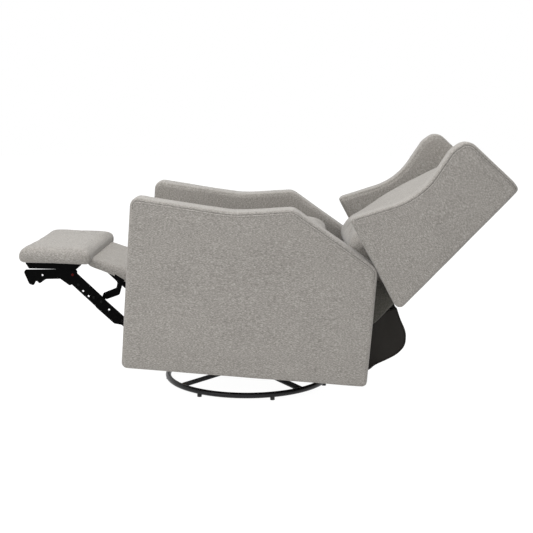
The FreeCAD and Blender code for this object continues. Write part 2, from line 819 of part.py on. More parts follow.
def calf_pad():
    length = size("calf_length") - 14
    depth = size("calf_thickness") - calf_board_thickness
    solid = crowned_cushion(length, size("calf_width"), depth, 3.0, 5.0)
    solid.translate(Vector(0, -12, calf_board_thickness - calf_half + run_gap))
    feature("calf_pad", calf_frame, solid)


def calf_hinge_brackets():
    """Plates that stand on the front crossbar and carry the calf hinge."""
    y, z = calf_hinge
    foot = carriage_top + size("crossbar_height")
    back_edge = carriage_front + size("crossbar_depth")
    outline = rounded_loop([
        (carriage_front, foot, 0), (back_edge, foot, 0), (back_edge, foot + 30, 14), (y + 40, z - 80, 40),
        (y + 12, z - 10, 8), (y + 11, z + 10, 10), (y - 11, z + 10, 10), (y - 10, z - 24, 10),
        (y + 16, z - 100, 30),
    ])
    outline.append(circle(y, z, calf_hinge_diameter + pin_slack))
    plates = []
    for name, side in sides.items():
        wall = plate("CalfStand_" + name, chair_frame, outline, size("calf_width") / 2 + 1.0, side,
                     "Sizes.link_thickness")
        nodes.remove(wall)
        wall.Placement = Placement()
        plates.append(wall)
    joined("calf_hinge_brackets", chair_frame, plates, "Part::Compound")


def calf_brackets():
    """Bent bars screwed under the calf board, reaching down to the knee."""
    turn = math.radians(size("calf_slope"))

    def on_calf(y, z):
        away, up = y - calf_hinge[0], z - calf_hinge[1]
        return (away * math.cos(turn) - up * math.sin(turn), away * math.sin(turn) + up * math.cos(turn))

    flat = -calf_half
    tip = on_calf(knee[0] + 6, knee[1] + 14)
    bend = on_calf(-473, 331)
    top = on_calf(-470, 370)
    outline = rounded_loop([
        (tip[0] - 9, tip[1] + 9, 8), (tip[0] - 9, tip[1] - 9, 8), (tip[0] + 9, tip[1] - 9, 6),
        (bend[0] + 4, bend[1] - 8, 10), (top[0] + 9, top[1] - 6, 8), (top[0] + 13, flat, 2),
        (top[0] - 26, flat, 2),
        (top[0] - 26, flat - 9, 6), (top[0] - 9, top[1] - 9, 6), (bend[0] - 14, bend[1] + 12, 8),
    ])
    bars = []
    for name, side in sides.items():
        wall = plate("CalfBar_" + name, calf_frame, outline, size("calf_width") / 2 - 10, side,
                     "Sizes.link_thickness")
        nodes.remove(wall)
        wall.Placement = Placement()
        bars.append(wall)
    joined("calf_brackets", calf_frame, bars, "Part::Compound")


# Seat: frame, springs, deck and cushion on four lift links
seat_bottom = size("seat_bottom")
frame_top = seat_bottom - 2.0
frame_bottom = frame_top - size("seat_frame_height")
frame_half = size("seat_frame_width") / 2


def lift_links():
    half = size("pivot_pin") / 2 + 6
    for where in ("front", "rear"):
        foot, top = lift_feet[where], lift_tops[where]
        slack = size("open_pivot_slack") if where == "rear" else 0
        shapes = loop_between(foot, top, half, half)
        shapes.append(circle(foot[0], foot[1], pin_hole))
        shapes.append(circle(top[0], top[1], size("pivot_pin") - 2 + pin_slack + slack))
        pair = []
        for name, side in sides.items():
            wall = plate("Lift_%s_%s" % (where, name), chair_frame, shapes, layer(4), side,
                         "Sizes.link_thickness")
            nodes.remove(wall)
            wall.Placement = Placement()
            pair.append(wall)
        joined("%s_lift_links" % where, chair_frame, pair, "Part::Compound")


def seat_brackets():
    front, rear = lift_tops["front"], lift_tops["rear"]
    outline = rounded_loop([
        (front[0] - 16, front[1] - 12, 10), (front[0] + 16, front[1] - 12, 10),
        (front[0] + 30, front[1] + 12, 14),
        (rear[0] - 30, rear[1] + 12, 14), (rear[0] - 16, rear[1] - 12, 10), (rear[0] + 16, rear[1] - 12, 10),
        (rear[0] + 16, frame_top - 6, 6), (front[0] - 16, frame_top - 6, 6),
    ])
    reach = frame_half + size("link_thickness")
    pins = [(y, z, reach, layer(4) + thick + 0.5, "Sizes.pivot_pin - 2") for y, z in lift_tops.values()]
    for name, side in sides.items():
        with_pins("seat_bracket_" + name, chair_frame, outline, frame_half, side, pins)


def seat_frame():
    front, rear = size("seat_frame_front"), size("seat_frame_rear")
    rail = size("seat_frame_rail")
    inner = frame_half - rail
    parts = []
    for i, side in enumerate(sides.values()):
        start = side * frame_half - (rail if side > 0 else 0)
        parts.append(box("SeatSide%d" % i, None, (start, front, frame_bottom),
                         ("Sizes.seat_frame_rail", rear - front, "Sizes.seat_frame_height")))
    for i, start in enumerate((front, rear - rail)):
        parts.append(box("SeatEnd%d" % i, None, (-inner, start, frame_bottom),
                         (2 * inner, "Sizes.seat_frame_rail", "Sizes.seat_frame_height")))
    joined("seat_frame", chair_frame, parts, "Part::Compound")


def sinuous_wire(start, along, across, length, swing, wire):
    """One zigzag spring: straight runs joined by half turns."""
    turns = int(length // (2 * 11.0))
    pitch = length / turns
    radius = pitch / 2
    edges = []
    spot = Vector(*start)
    along = Vector(*along)
    across = Vector(*across)
    heading = 1
    for i in range(turns):
        end = spot + across * (swing * heading)
        edges.append(Part.LineSegment(spot, end).toShape())
        centre = end + along * radius
        crest = centre + across * (radius * heading)
        after = end + along * pitch
        edges.append(Part.Arc(end, crest, after).toShape())
        spot = after
        heading = -heading
    edges.append(Part.LineSegment(spot, spot + across * (swing * heading)).toShape())
    path = Part.Wire(edges)
    ring = Part.Wire(Part.Circle(edges[0].Vertexes[0].Point, across, wire / 2).toShape())
    return path.makePipeShell([ring], True, False)


def seat_springs():
    front = size("seat_frame_front") + size("seat_frame_rail")
    rear = size("seat_frame_rear") - size("seat_frame_rail")
    wires = []
    swing = 36.0
    wire = 4.0
    for i in range(4):
        middle = (i - 1.5) * 84.0
        start = (middle - swing / 2, front + wire / 2, frame_top - 12)
        wires.append(sinuous_wire(start, (0, 1, 0), (1, 0, 0), rear - front - wire, swing, wire))
    feature("seat_springs", chair_frame, Part.makeCompound(wires))


def seat_deck():
    """The thin board that carries the front of the cushion."""
    front = size("seat_front") + 14
    box("seat_deck", chair_frame,
        (-size("seat_width") / 2 + 14, front, seat_bottom - size("seat_deck_thickness")),
        ("Sizes.seat_width - 28", size("seat_frame_front") - front, "Sizes.seat_deck_thickness"))


def seat_cushion():
    length = size("seat_rear") - size("seat_front")
    solid = crowned_cushion(length, size("seat_width"), size("seat_thickness"), size("seat_crown"), 24.0)
    solid.translate(Vector(0, size("seat_rear"), seat_bottom + run_gap))
    feature("seat_cushion", chair_frame, solid)


# Back: drawn upright in its own frame, v rearward (Y) and u up (Z)
back_rear = size("back_rear")
post_rear = back_rear - size("back_board")
post_front = post_rear - size("back_post_depth")
wing_inner = half_outer - size("wing_thickness")
post_inner = layer(1) + thick


def wing_outline():
    tip_y, tip = size("wing_tip_y"), size("wing_tip_height")
    top, heel = size("wing_top"), size("wing_heel_height")
    rear, rise = back_rear + size("wing_rear_lap"), top - tip
    return rounded_loop([
        (rear, heel, 20), (rear, top - 2, 12), (rear - 28, top + 4, 20), (4, top, 42),
        (-8, tip + 0.86 * rise, 60), (15, tip + 0.58 * rise, 200), (5, tip + 0.39 * rise, 260),
        (tip_y, tip + 12, 8), (tip_y, tip - 2, 8),
    ])


def wings():
    for name, side in sides.items():
        start = wing_inner if side > 0 else -half_outer
        edges = ([half_outer * side, wing_inner * side], "Sizes.arm_outer_round")
        pad_piece("wing_" + name, back_frame, "YZ_Plane", wing_outline(), "Sizes.wing_thickness", start,
                  edges)


bracket_top = 330.0
rail_depth = 40.0


def back_posts():
    foot = size("lower_back_foot") + 4
    for name, side in sides.items():
        start = post_inner if side > 0 else -post_inner - size("back_post")
        box("back_post_" + name, back_frame, (start, post_front, foot),
            ("Sizes.back_post", "Sizes.back_post_depth", size("wing_top") - 16 - foot))


def back_rails():
    """Three rails between the posts, and stubs that carry the wings."""
    inner = post_inner
    outer = post_inner + size("back_post")
    reach = wing_inner - run_gap
    heights = (bracket_top + 2.0, size("wing_top") - size("middle_rail_drop"),
               size("wing_top") - size("top_rail_drop"))
    parts = []
    for i, height in enumerate(heights):
        parts.append(box("BackRail%d" % i, None, (-inner, post_front, height),
                         (2 * inner, "Sizes.back_post_depth", rail_depth)))
        if i == 0:
            continue
        for name, side in sides.items():
            start = outer if side > 0 else -reach
            parts.append(box("WingStub%d_%s" % (i, name), None, (start, post_front, height),
                             (reach - outer, "Sizes.back_post_depth", rail_depth)))
    joined("back_rails", back_frame, parts, "Part::Compound")


def back_springs():
    low = bracket_top + 2.0 + rail_depth
    high = size("wing_top") - size("middle_rail_drop")
    wires = []
    swing = 36.0
    wire = 4.0
    for i in range(4):
        middle = (i - 1.5) * 96.0
        start = (middle - swing / 2, post_front + 8, low + wire / 2)
        wires.append(sinuous_wire(start, (0, 0, 1), (1, 0, 0), high - low - wire, swing, wire))
    feature("back_springs", back_frame, Part.makeCompound(wires))


def back_panel():
    """Rear board: narrow between the arms, wide between the wings."""
    foot, top = size("lower_back_foot"), size("wing_top") - 6
    low, wide = size("back_width") / 2, wing_inner - run_gap
    step = size("wing_heel_height") + 16
    outline = rounded_loop([(-low, foot, 6), (low, foot, 6), (low, step, 4), (wide, step, 4), (wide, top, 12),
                            (-wide, top, 12), (-wide, step, 4), (-low, step, 4)])
    turned = back_frame * Placement(Vector(0, back_rear, 0), Rotation())
    pad_piece("back_panel", turned, "XZ_Plane", outline, "Sizes.back_board")


def back_brackets():
    edge = post_front + 1.0
    shoulder = size("bracket_shoulder")
    outline = rounded_loop([
        (-16, -14, 12), (40, -14, 30), (158, 90, 60), (post_rear - 4, shoulder, 10),
        (post_rear - 4, bracket_top, 8), (edge, bracket_top, 8), (edge, shoulder, 20), (120, 130, 40),
        (-16, 16, 12),
    ])
    outline.append(circle(0, 0, size("pivot_pin") + 4 + pin_slack))
    for name, side in sides.items():
        plate("back_bracket_" + name, back_frame, outline, layer(1), side, "Sizes.link_thickness")


def back_cushion():
    """A tall cushion: narrow between the arms, wide between the wings."""
    rear = post_front - run_gap
    low_half, wide_half = size("back_width") / 2 - 3, wing_inner - 3
    stations = (
        (size("cushion_bottom"), 50, low_half - 16), (size("cushion_bottom") + 22, 14, low_half - 2),
        (350, 0, low_half), (398, -3, low_half), (440, 2, wide_half - 4), (500, 20, wide_half),
        (606, 47, wide_half),
        (702, 79, wide_half), (776, 102, wide_half - 2), (size("cushion_top") - 12, 126, wide_half - 8),
        (size("cushion_top"), 150, wide_half - 24),
    )
    corner = 14.0
    wires = []
    for height, front, half in stations:
        middle = (rear + front) / 2
        left = Vector(-half, rear, height)
        right = Vector(half, rear, height)
        front_r = Vector(half - corner, front + corner, height)
        front_l = Vector(-half + corner, front + corner, height)
        wires.append(Part.Wire([
            Part.LineSegment(left, right).toShape(),
            Part.Arc(right, Vector(half - 1, middle, height), front_r).toShape(),
            Part.Arc(front_r, Vector(0, front, height), front_l).toShape(),
            Part.Arc(front_l, Vector(-half + 1, middle, height), left).toShape(),
        ]))
    feature("back_cushion", back_frame, Part.makeLoft(wires, True, True))


def lower_back():
    """The padded foot of the back, which passes between the arms."""
    foot = size("lower_back_foot")
    front = 130.0
    outline = rounded_loop([(post_front - run_gap, foot, 4), (post_front - run_gap, size("cushion_bottom") - 1, 4),
                            (front, size("cushion_bottom") - 1, 14), (front, foot + 6, 22)])
    half = size("back_width") / 2
    pad_piece("lower_back_pad", back_frame, "YZ_Plane", outline, "Sizes.back_width", -half)


# Rear dust cover and the release lever
def rear_dust_cover():
    """A black boot from the foot of the back to the rear rail."""
    wall = size("cover_thickness")
    half = size("back_width") / 2 - 3
    turn = math.radians(size("back_lean"))

    def on_back(v, u):
        return (recline_pivot.y + v * math.cos(turn) + u * math.sin(turn),
                recline_pivot.z - v * math.sin(turn) + u * math.cos(turn))

    low = on_back(back_rear + 1, size("lower_back_foot") - 2)
    high = on_back(back_rear + 1, size("wing_heel_height") - 20)
    rear_rail = (size("panel_rear") + 1, size("panel_bottom") + 6)
    far, belly_low, belly_top = size("cover_rear"), size("cover_belly_low"), size("cover_belly_top")
    outer = rounded_loop([
        (rear_rail[0], rear_rail[1], 3), (rear_rail[0] + 34, rear_rail[1] + 8, 30), (far, belly_low, 42),
        (far, belly_top, 60), (high[0] + 4, high[1], 2), (high[0], high[1], 0), (low[0], low[1], 10),
        (rear_rail[0], low[1] - 30, 10),
    ])
    inner = rounded_loop([
        (rear_rail[0] - 20, rear_rail[1] + wall, 3), (rear_rail[0] + 32, rear_rail[1] + 8 + wall, 26),
        (far - wall, belly_low + wall * 0.6, 38), (far - wall, belly_top, 56), (high[0] - wall, high[1] - wall, 2),
        (low[0], low[1] - wall, 8), (rear_rail[0] - 20, low[1] - 30 - wall, 10),
    ])
    solids = []
    for loop, reach in ((outer, half), (inner, half - wall)):
        wire = Part.Wire([segment.toShape() for segment in loop])
        wire.Placement = Placement(Vector(-reach, 0, 0), Rotation(0.5, 0.5, 0.5, 0.5))
        solids.append(Part.Face(wire).extrude(Vector(2 * reach, 0, 0)))
    feature("rear_dust_cover", chair_frame, solids[0].cut(solids[1]))


lever_y, lever_z = -230.0, 648.0
bezel_depth = 3.0
lever_pin = 5.0
lever_reach = 5.5
lug = 5.0
lever_frame = chair_frame * Placement(Vector(half_inner, lever_y, lever_z), Rotation())


def release_bezel():
    """A small plate on the inner face of the left arm, with two lugs."""
    length = size("lever_length") + 2 * lug + 8
    back = box("BezelPlate", None, (-bezel_depth, -length / 2, -40), (bezel_depth, length, 46))
    parts = [back]
    for i, heading in enumerate((1, -1)):
        start = size("lever_length") / 2 + 0.5 if heading > 0 else -size("lever_length") / 2 - 0.5 - lug
        ear = box("BezelEar%d" % i, None, (-bezel_depth - lever_reach - 4, start, -5),
                  (lever_reach + 4, lug, 10))
        bore = rod("BezelBore%d" % i, (-bezel_depth - lever_reach, start, 0), (0, 1, 0), lug,
                   "%s" % (lever_pin + pin_slack))
        parts.append(cut("BezelLug%d" % i, ear, bore))
    joined("release_bezel", lever_frame, parts)


def release_lever():
    length = size("lever_length")
    paddle = box("LeverPaddle", None, (-bezel_depth - lever_reach - 2, -length / 2, -34),
                 (4, "Sizes.lever_length", 34))
    start = -length / 2 - lug
    pivot = rod("LeverPivot", (-bezel_depth - lever_reach, start, 0), (0, 1, 0), length + 2 * lug,
                "%s" % lever_pin)
    joined("release_lever", lever_frame, [paddle, pivot])


# Make the pieces
foot_ring()
foot_glides()
ring_braces()
hub_plate()
swivel_race("lower_race", race_bottom)
swivel_race("upper_race", race_bottom + size("race_thickness") + race_gap)
swivel_balls()
kingpin()
swivel_platform()
platform_bolts()
for name, sign in sides.items():
    glide_tower(name, sign)
glide_links()
arms()
side_panels()
wooden_rails()
corner_blocks()
glide_carriage()
mechanism_plates()
lower_links()
upper_links()
footrest_rails()
footrest_board()
footrest_pad()
calf_board()
calf_pad()
calf_hinge_brackets()
calf_brackets()
lift_links()
seat_brackets()
seat_frame()
seat_springs()
seat_deck()
seat_cushion()
wings()
back_posts()
back_rails()
back_springs()
back_panel()
back_brackets()
back_cushion()
lower_back()
rear_dust_cover()
release_bezel()
release_lever()
doc.recompute()

# Check every object before anything is written.
for item in doc.Objects:
    if {"Invalid", "Error"} & set(item.State):
        raise RuntimeError("%s failed: %s" % (item.Label, item.State))
os.makedirs("parts", exist_ok=True)
for piece in nodes:
    if piece.Shape.isNull() or not piece.Shape.isValid():
        raise RuntimeError("%s has no valid shape" % piece.Label)
for piece in nodes:
    piece.Shape.exportStep("parts/%s.step" % piece.Label)
whole = FreeCAD.BoundBox()
for piece in nodes:
    whole.add(piece.Shape.BoundBox)
print("%d nodes written" % len(nodes))
print("overall", whole)
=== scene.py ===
import bpy
import bmesh
import math
import numpy as np
from mathutils import Matrix, Vector, noise
from mathutils.bvhtree import BVHTree


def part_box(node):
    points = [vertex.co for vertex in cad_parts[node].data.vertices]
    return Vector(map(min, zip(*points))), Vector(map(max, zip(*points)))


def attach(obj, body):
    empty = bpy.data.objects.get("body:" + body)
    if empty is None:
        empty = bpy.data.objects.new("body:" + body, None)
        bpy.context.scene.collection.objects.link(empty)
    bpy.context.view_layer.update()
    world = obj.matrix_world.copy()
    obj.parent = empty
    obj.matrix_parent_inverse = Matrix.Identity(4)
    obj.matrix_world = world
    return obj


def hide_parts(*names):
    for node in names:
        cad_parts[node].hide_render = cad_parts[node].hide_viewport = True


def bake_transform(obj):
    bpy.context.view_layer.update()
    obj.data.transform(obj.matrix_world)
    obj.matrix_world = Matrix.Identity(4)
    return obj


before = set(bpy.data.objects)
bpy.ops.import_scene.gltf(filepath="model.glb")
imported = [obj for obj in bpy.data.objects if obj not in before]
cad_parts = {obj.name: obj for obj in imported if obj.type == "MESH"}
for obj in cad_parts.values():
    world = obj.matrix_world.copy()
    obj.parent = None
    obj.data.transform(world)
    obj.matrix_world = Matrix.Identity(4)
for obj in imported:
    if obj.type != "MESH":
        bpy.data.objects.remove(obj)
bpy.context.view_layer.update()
scene = bpy.context.scene

# Spaces in which the soft pieces are drawn: x across, y back, z up, all in metres
chair = {
    "glideTilt": 4.33, "backLean": 39.1, "pivotY": 0.116, "pivotZ": 0.299,
    "innerHalf": 0.269, "outerHalf": 0.379,
}
ringLow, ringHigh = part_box("foot_ring")
ringY = (ringLow.y + ringHigh.y) / 2
seatSpace = Matrix.Translation((0, ringY, 0)) @ Matrix.Rotation(math.radians(-chair["glideTilt"]), 4, "X")
backSpace = (seatSpace @ Matrix.Translation((0, chair["pivotY"], chair["pivotZ"]))
             @ Matrix.Rotation(math.radians(-chair["backLean"]), 4, "X"))


# Outlines and meshes

def roundedOutline(corners, step=0.01):
    # points round a closed outline of (y, z, radius) corners, counter-clockwise
    count = len(corners)
    points = []
    for i, (y, z, radius) in enumerate(corners):
        here = Vector((y, z))
        toBefore = (Vector(corners[i - 1][:2]) - here).normalized()
        toAfter = (Vector(corners[(i + 1) % count][:2]) - here).normalized()
        turn = math.pi - toBefore.angle(toAfter)
        trim = radius * math.tan(turn / 2)
        bisector = (toBefore + toAfter).normalized()
        centre = here + bisector * (radius / math.cos(turn / 2))
        start = here + toBefore * trim - centre
        steps = max(2, int(radius * turn / step) + 2)
        sign = 1 if toAfter.cross(toBefore) > 0 else -1
        for k in range(steps + 1):
            angle = sign * turn * k / steps
            spot = Matrix.Rotation(angle, 2) @ start + centre
            points.append((spot.x, spot.y))
    return resample(points, step, closed=True)


def resample(points, step, closed=False):
    # the same line with even steps
    line = np.array(points, float)
    if closed:
        line = np.vstack([line, line[:1]])
    lengths = np.linalg.norm(np.diff(line, axis=0), axis=1)
    keep = np.concatenate([[True], lengths > 1e-7])
    line = line[keep]
    run = np.concatenate([[0], np.cumsum(np.linalg.norm(np.diff(line, axis=0), axis=1))])
    count = max(4, int(round(run[-1] / step)))
    spots = np.linspace(0, run[-1], count + 1)
    if closed:
        spots = spots[:-1]
    return np.stack([np.interp(spots, run, line[:, k]) for k in range(line.shape[1])], 1)


def inwardNormals(outline):
    # unit normals that point into a counter-clockwise outline
    along = np.roll(outline, -1, 0) - np.roll(outline, 1, 0)
    along /= np.linalg.norm(along, axis=1)[:, None]
    return np.stack([-along[:, 1], along[:, 0]], 1)


def newPiece(name, mesh):
    piece = bpy.data.objects.new(name, mesh)
    scene.collection.objects.link(piece)
    return piece


def loftedPiece(name, rings):
    # a closed piece through rings of as many points each, capped at both ends
    net = bmesh.new()
    rows = [[net.verts.new(point) for point in ring] for ring in rings]
    count = len(rows[0])
    for below, above in zip(rows, rows[1:]):
        for k in range(count):
            net.faces.new((below[k], below[(k + 1) % count], above[(k + 1) % count], above[k]))
    net.faces.new(rows[0][::-1])
    net.faces.new(rows[-1])
    bmesh.ops.triangulate(net, faces=[face for face in net.faces if len(face.verts) > 4])
    bmesh.ops.recalc_face_normals(net, faces=net.faces)
    mesh = bpy.data.meshes.new(name)
    net.to_mesh(mesh)
    net.free()
    return newPiece(name, mesh)


def slab(name, outline, lowX, highX, edge, turns=5):
    # an outline given width in x, with both rims rounded by edge
    inward = inwardNormals(outline)
    rings = []
    for side, centre in ((-1, lowX + edge), (1, highX - edge)):
        for k in range(turns + 1):
            angle = math.pi / 2 * (1 - k / turns if side < 0 else k / turns)
            x = centre + side * edge * math.sin(angle)
            ring = outline + inward * edge * (1 - math.cos(angle))
            rings.append([(x, y, z) for y, z in ring])
    return loftedPiece(name, rings)


def bake(piece):
    # the evaluated mesh becomes the piece's own, and its modifiers go
    graph = bpy.context.evaluated_depsgraph_get()
    mesh = bpy.data.meshes.new_from_object(piece.evaluated_get(graph))
    piece.modifiers.clear()
    piece.data = mesh


def evenOut(piece, voxel):
    remesh = piece.modifiers.new("Even", "REMESH")
    remesh.mode = "VOXEL"
    remesh.voxel_size = voxel
    bake(piece)


def smoothDown(piece, rounds, factor=0.5):
    smooth = piece.modifiers.new("Soften", "SMOOTH")
    smooth.iterations = rounds
    smooth.factor = factor
    bake(piece)


def subdivide(piece):
    finer = piece.modifiers.new("Finer", "SUBSURF")
    finer.levels = finer.render_levels = 1
    bake(piece)


def points(piece):
    data = np.zeros(len(piece.data.vertices) * 3)
    piece.data.vertices.foreach_get("co", data)
    return data.reshape(-1, 3)


def setPoints(piece, spots):
    piece.data.vertices.foreach_set("co", spots.ravel())
    piece.data.update()


def normals(piece):
    data = np.zeros(len(piece.data.vertices) * 3)
    piece.data.vertices.foreach_get("normal", data)
    return data.reshape(-1, 3)


def swell(piece, cap, pressure=4.0, stiffness=15.0):
    # cloth under pressure, then each point held within cap of where it began
    start = points(piece)
    cloth = piece.modifiers.new("Fill", "CLOTH")
    cloth.settings.use_pressure = True
    cloth.settings.uniform_pressure_force = pressure
    cloth.settings.effector_weights.gravity = 0
    cloth.settings.tension_stiffness = stiffness
    cloth.settings.compression_stiffness = stiffness
    cloth.settings.shear_stiffness = stiffness
    for number in range(1, 21):
        scene.frame_set(number)
    bake(piece)
    scene.frame_set(1)
    moved = points(piece) - start
    reach = np.linalg.norm(moved, axis=1)[:, None]
    held = cap * np.tanh(reach / cap)
    setPoints(piece, start + moved * held / np.maximum(reach, 1e-9))


def ripple(piece, height, length, seed):
    # slow uneven waves, as padding gives a cover
    spots, ways = points(piece), normals(piece)
    shift = Vector((seed * 7.1, seed * 3.3, seed * 5.7))
    lift = np.array([noise.noise(Vector(spot) / length + shift) for spot in spots])
    setPoints(piece, spots + ways * (lift * height)[:, None])


def distanceTo(spots, line, reach=0.02):
    # least distance from each point to a polyline, and far away a large number
    best = np.full(len(spots), 1.0)
    for start, end in zip(line[:-1], line[1:]):
        low, high = np.minimum(start, end) - reach, np.maximum(start, end) + reach
        near = np.nonzero(np.all((spots > low) & (spots < high), axis=1))[0]
        if not len(near):
            continue
        along = end - start
        share = np.clip(((spots[near] - start) @ along) / max(along @ along, 1e-12), 0, 1)
        gap = np.linalg.norm(spots[near] - start - share[:, None] * along, axis=1)
        best[near] = np.minimum(best[near], gap)
    return best


def sinkSeam(piece, line, depth=0.0018, width=0.004):
    # a sewn seam pulls the cover in along its line
    spots, ways = points(piece), normals(piece)
    gap = distanceTo(spots, line)
    setPoints(piece, spots - ways * (depth * np.exp(-(gap / width) ** 2))[:, None])


def onSurface(piece, line, lift=0.0002):
    # the line laid on the nearest points of the piece, lifted a little off them
    mesh = piece.data
    tree = BVHTree.FromPolygons([v.co for v in mesh.vertices], [p.vertices for p in mesh.polygons])
    laid = []
    for spot in line:
        place, way, _, _ = tree.find_nearest(Vector(spot))
        laid.append(place + way * lift)
    return np.array([tuple(spot) for spot in laid])


def limit(piece, low, high):
    # keeps a soft piece inside its own room
    setPoints(piece, np.clip(points(piece), low, high))


def finishPiece(piece, space, material, body, slotName, *nodes):
    piece.data.transform(space)
    for polygon in piece.data.polygons:
        polygon.use_smooth = True
    piece.data.materials.clear()
    piece.data.materials.append(material)
    if body:
        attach(piece, body)
    if nodes:
        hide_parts(*nodes)
    print("made", piece.name, len(piece.data.polygons), "faces")
    return piece


# Materials

class Shader:
    # a material with its Principled shader, built node by node
    def __init__(self, name, **values):
        self.material = bpy.data.materials.new(name)
        self.material.use_nodes = True
        self.tree = self.material.node_tree
        self.shader = self.tree.nodes["Principled BSDF"]
        for socket, value in values.items():
            self.shader.inputs[socket.replace("_", " ")].default_value = value
        self.place = self.add("ShaderNodeTexCoord").outputs["Object"]

    def add(self, kind, **inputs):
        node = self.tree.nodes.new(kind)
        for socket, value in inputs.items():
            self.feed(node.inputs[socket.replace("_", " ")], value)
        return node

    def feed(self, socket, value):
        if isinstance(value, bpy.types.NodeSocket):
            self.tree.links.new(value, socket)
        else:
            socket.default_value = value

    def mapped(self, scale, turn=0.0, source=None):
        node = self.add("ShaderNodeMapping", Vector=source or self.place, Scale=scale)
        node.inputs["Rotation"].default_value = (math.radians(turn), 0, 0)
        return node.outputs["Vector"]

    def noise(self, vector, scale, detail=3.0, roughness=0.5):
        node = self.add("ShaderNodeTexNoise", Vector=vector, Scale=scale, Detail=detail, Roughness=roughness)
        return node.outputs["Fac"]

    def math(self, operation, first, second=0.5, third=0.5):
        node = self.tree.nodes.new("ShaderNodeMath")
        node.operation = operation
        for socket, value in zip(node.inputs, (first, second, third)):
            self.feed(socket, value)
        return node.outputs["Value"]

    def ramp(self, factor, stops):
        node = self.add("ShaderNodeValToRGB", Fac=factor)
        while len(node.color_ramp.elements) < len(stops):
            node.color_ramp.elements.new(0.5)
        for element, (place, colour) in zip(node.color_ramp.elements, stops):
            element.position = place
            element.color = (*colour, 1)
        return node.outputs["Color"]

    def mix(self, factor, first, second, blend="MIX"):
        node = self.tree.nodes.new("ShaderNodeMix")
        node.data_type = "RGBA"
        node.blend_type = blend
        for name, value in (("Factor_Float", factor), ("A_Color", first), ("B_Color", second)):
            self.feed([s for s in node.inputs if s.identifier == name][0], value)
        return [s for s in node.outputs if s.identifier == "Result_Color"][0]

    def bump(self, height, strength, distance):
        node = self.add("ShaderNodeBump", Height=height, Strength=strength, Distance=distance)
        self.feed(self.shader.inputs["Normal"], node.outputs["Normal"])


cloth = {
    "dark": (0.160, 0.149, 0.135), "middle": (0.296, 0.279, 0.257), "light": (0.50, 0.477, 0.446),
    "fleckScale": 460.0, "fleckStretch": 0.32, "crossScale": 1.7, "threadPitch": 0.0016, "soilAmount": 0.05,
}


def wovenCloth(name, turn=0.0, darkest=cloth["dark"], middle=cloth["middle"], lightest=cloth["light"]):
    # heathered plain weave: flecks run along the warp, fine threads in the bump
    look = Shader(name, Roughness=0.92, Sheen_Weight=0.25, Sheen_Roughness=0.45, Specular_IOR_Level=0.25)
    turned = look.mapped((1, 1, 1), turn)
    along = look.mapped((1, cloth["fleckStretch"], 1), source=turned)
    across = look.mapped((1, 1.3, 0.5), source=turned)
    flecks = look.noise(along, cloth["fleckScale"], 4.0, 0.62)
    cross = look.noise(across, cloth["fleckScale"] * cloth["crossScale"], 3.0, 0.6)
    heather = look.math("ADD", look.math("MULTIPLY", flecks, 0.65), look.math("MULTIPLY", cross, 0.35))
    colour = look.ramp(heather, [(0.34, darkest), (0.5, middle), (0.67, lightest)])
    patches = look.noise(turned, 9.0, 2.0, 0.5)
    shade = look.ramp(patches, [(0.3, (1 - cloth["soilAmount"],) * 3), (0.7, (1, 1, 1))])
    look.feed(look.shader.inputs["Base Color"], look.mix(1.0, colour, shade, "MULTIPLY"))
    waves = []
    split = look.add("ShaderNodeSeparateXYZ", Vector=turned)
    frequency = math.pi / cloth["threadPitch"]
    for axis in "XYZ":
        wave = look.math("SINE", look.math("MULTIPLY", split.outputs[axis], frequency))
        waves.append(look.math("ABSOLUTE", wave))
    weave = look.math("MULTIPLY", look.math("MULTIPLY", waves[0], waves[1]), waves[2])
    height = look.math("ADD", look.math("MULTIPLY", weave, 0.35), heather)
    look.bump(height, 0.55, 0.0012)
    return look.material


def blackPaint(name, colour, roughness, wear, gloss=0.12):
    # satin paint with a little orange peel and rubbed spots
    look = Shader(name, Metallic=0.0, Specular_IOR_Level=gloss)
    spots = look.noise(look.place, 160.0, 4.0, 0.6)
    look.feed(look.shader.inputs["Base Color"], look.ramp(spots, [(0.55, colour), (0.8, wear)]))
    rough = look.noise(look.place, 45.0, 3.0, 0.5)
    spread = look.add("ShaderNodeMapRange", Value=rough, To_Min=roughness - 0.08, To_Max=roughness + 0.12)
    look.feed(look.shader.inputs["Roughness"], spread.outputs["Result"])
    look.bump(look.noise(look.place, 700.0, 2.0, 0.5), 0.12, 0.0004)
    return look.material


def platedSteel(name):
    look = Shader(name, Metallic=1.0)
    streaks = look.noise(look.mapped((1, 1, 12)), 120.0, 3.0, 0.6)
    look.feed(look.shader.inputs["Base Color"],
              look.ramp(streaks, [(0.3, (0.42, 0.42, 0.41)), (0.7, (0.62, 0.62, 0.60))]))
    spread = look.add("ShaderNodeMapRange", Value=streaks, To_Min=0.28, To_Max=0.45)
    look.feed(look.shader.inputs["Roughness"], spread.outputs["Result"])
    return look.material


def plainWood(name):
    look = Shader(name, Roughness=0.7)
    rings = look.noise(look.mapped((3, 0.35, 3)), 60.0, 5.0, 0.65)
    look.feed(look.shader.inputs["Base Color"],
              look.ramp(rings, [(0.35, (0.33, 0.20, 0.10)), (0.5, (0.50, 0.34, 0.18)),
                                (0.68, (0.62, 0.45, 0.26))]))
    look.bump(rings, 0.2, 0.0006)
    return look.material


def blackCloth(name):
    # thin woven dust cloth, nearly black and a little brown
    look = Shader(name, Roughness=0.7, Sheen_Weight=0.35, Sheen_Roughness=0.35, Specular_IOR_Level=0.3)
    fibres = look.noise(look.mapped((1, 1, 3)), 520.0, 3.0, 0.6)
    look.feed(look.shader.inputs["Base Color"],
              look.ramp(fibres, [(0.3, (0.011, 0.009, 0.007)), (0.7, (0.021, 0.018, 0.0145))]))
    look.bump(fibres, 0.35, 0.0008)
    return look.material


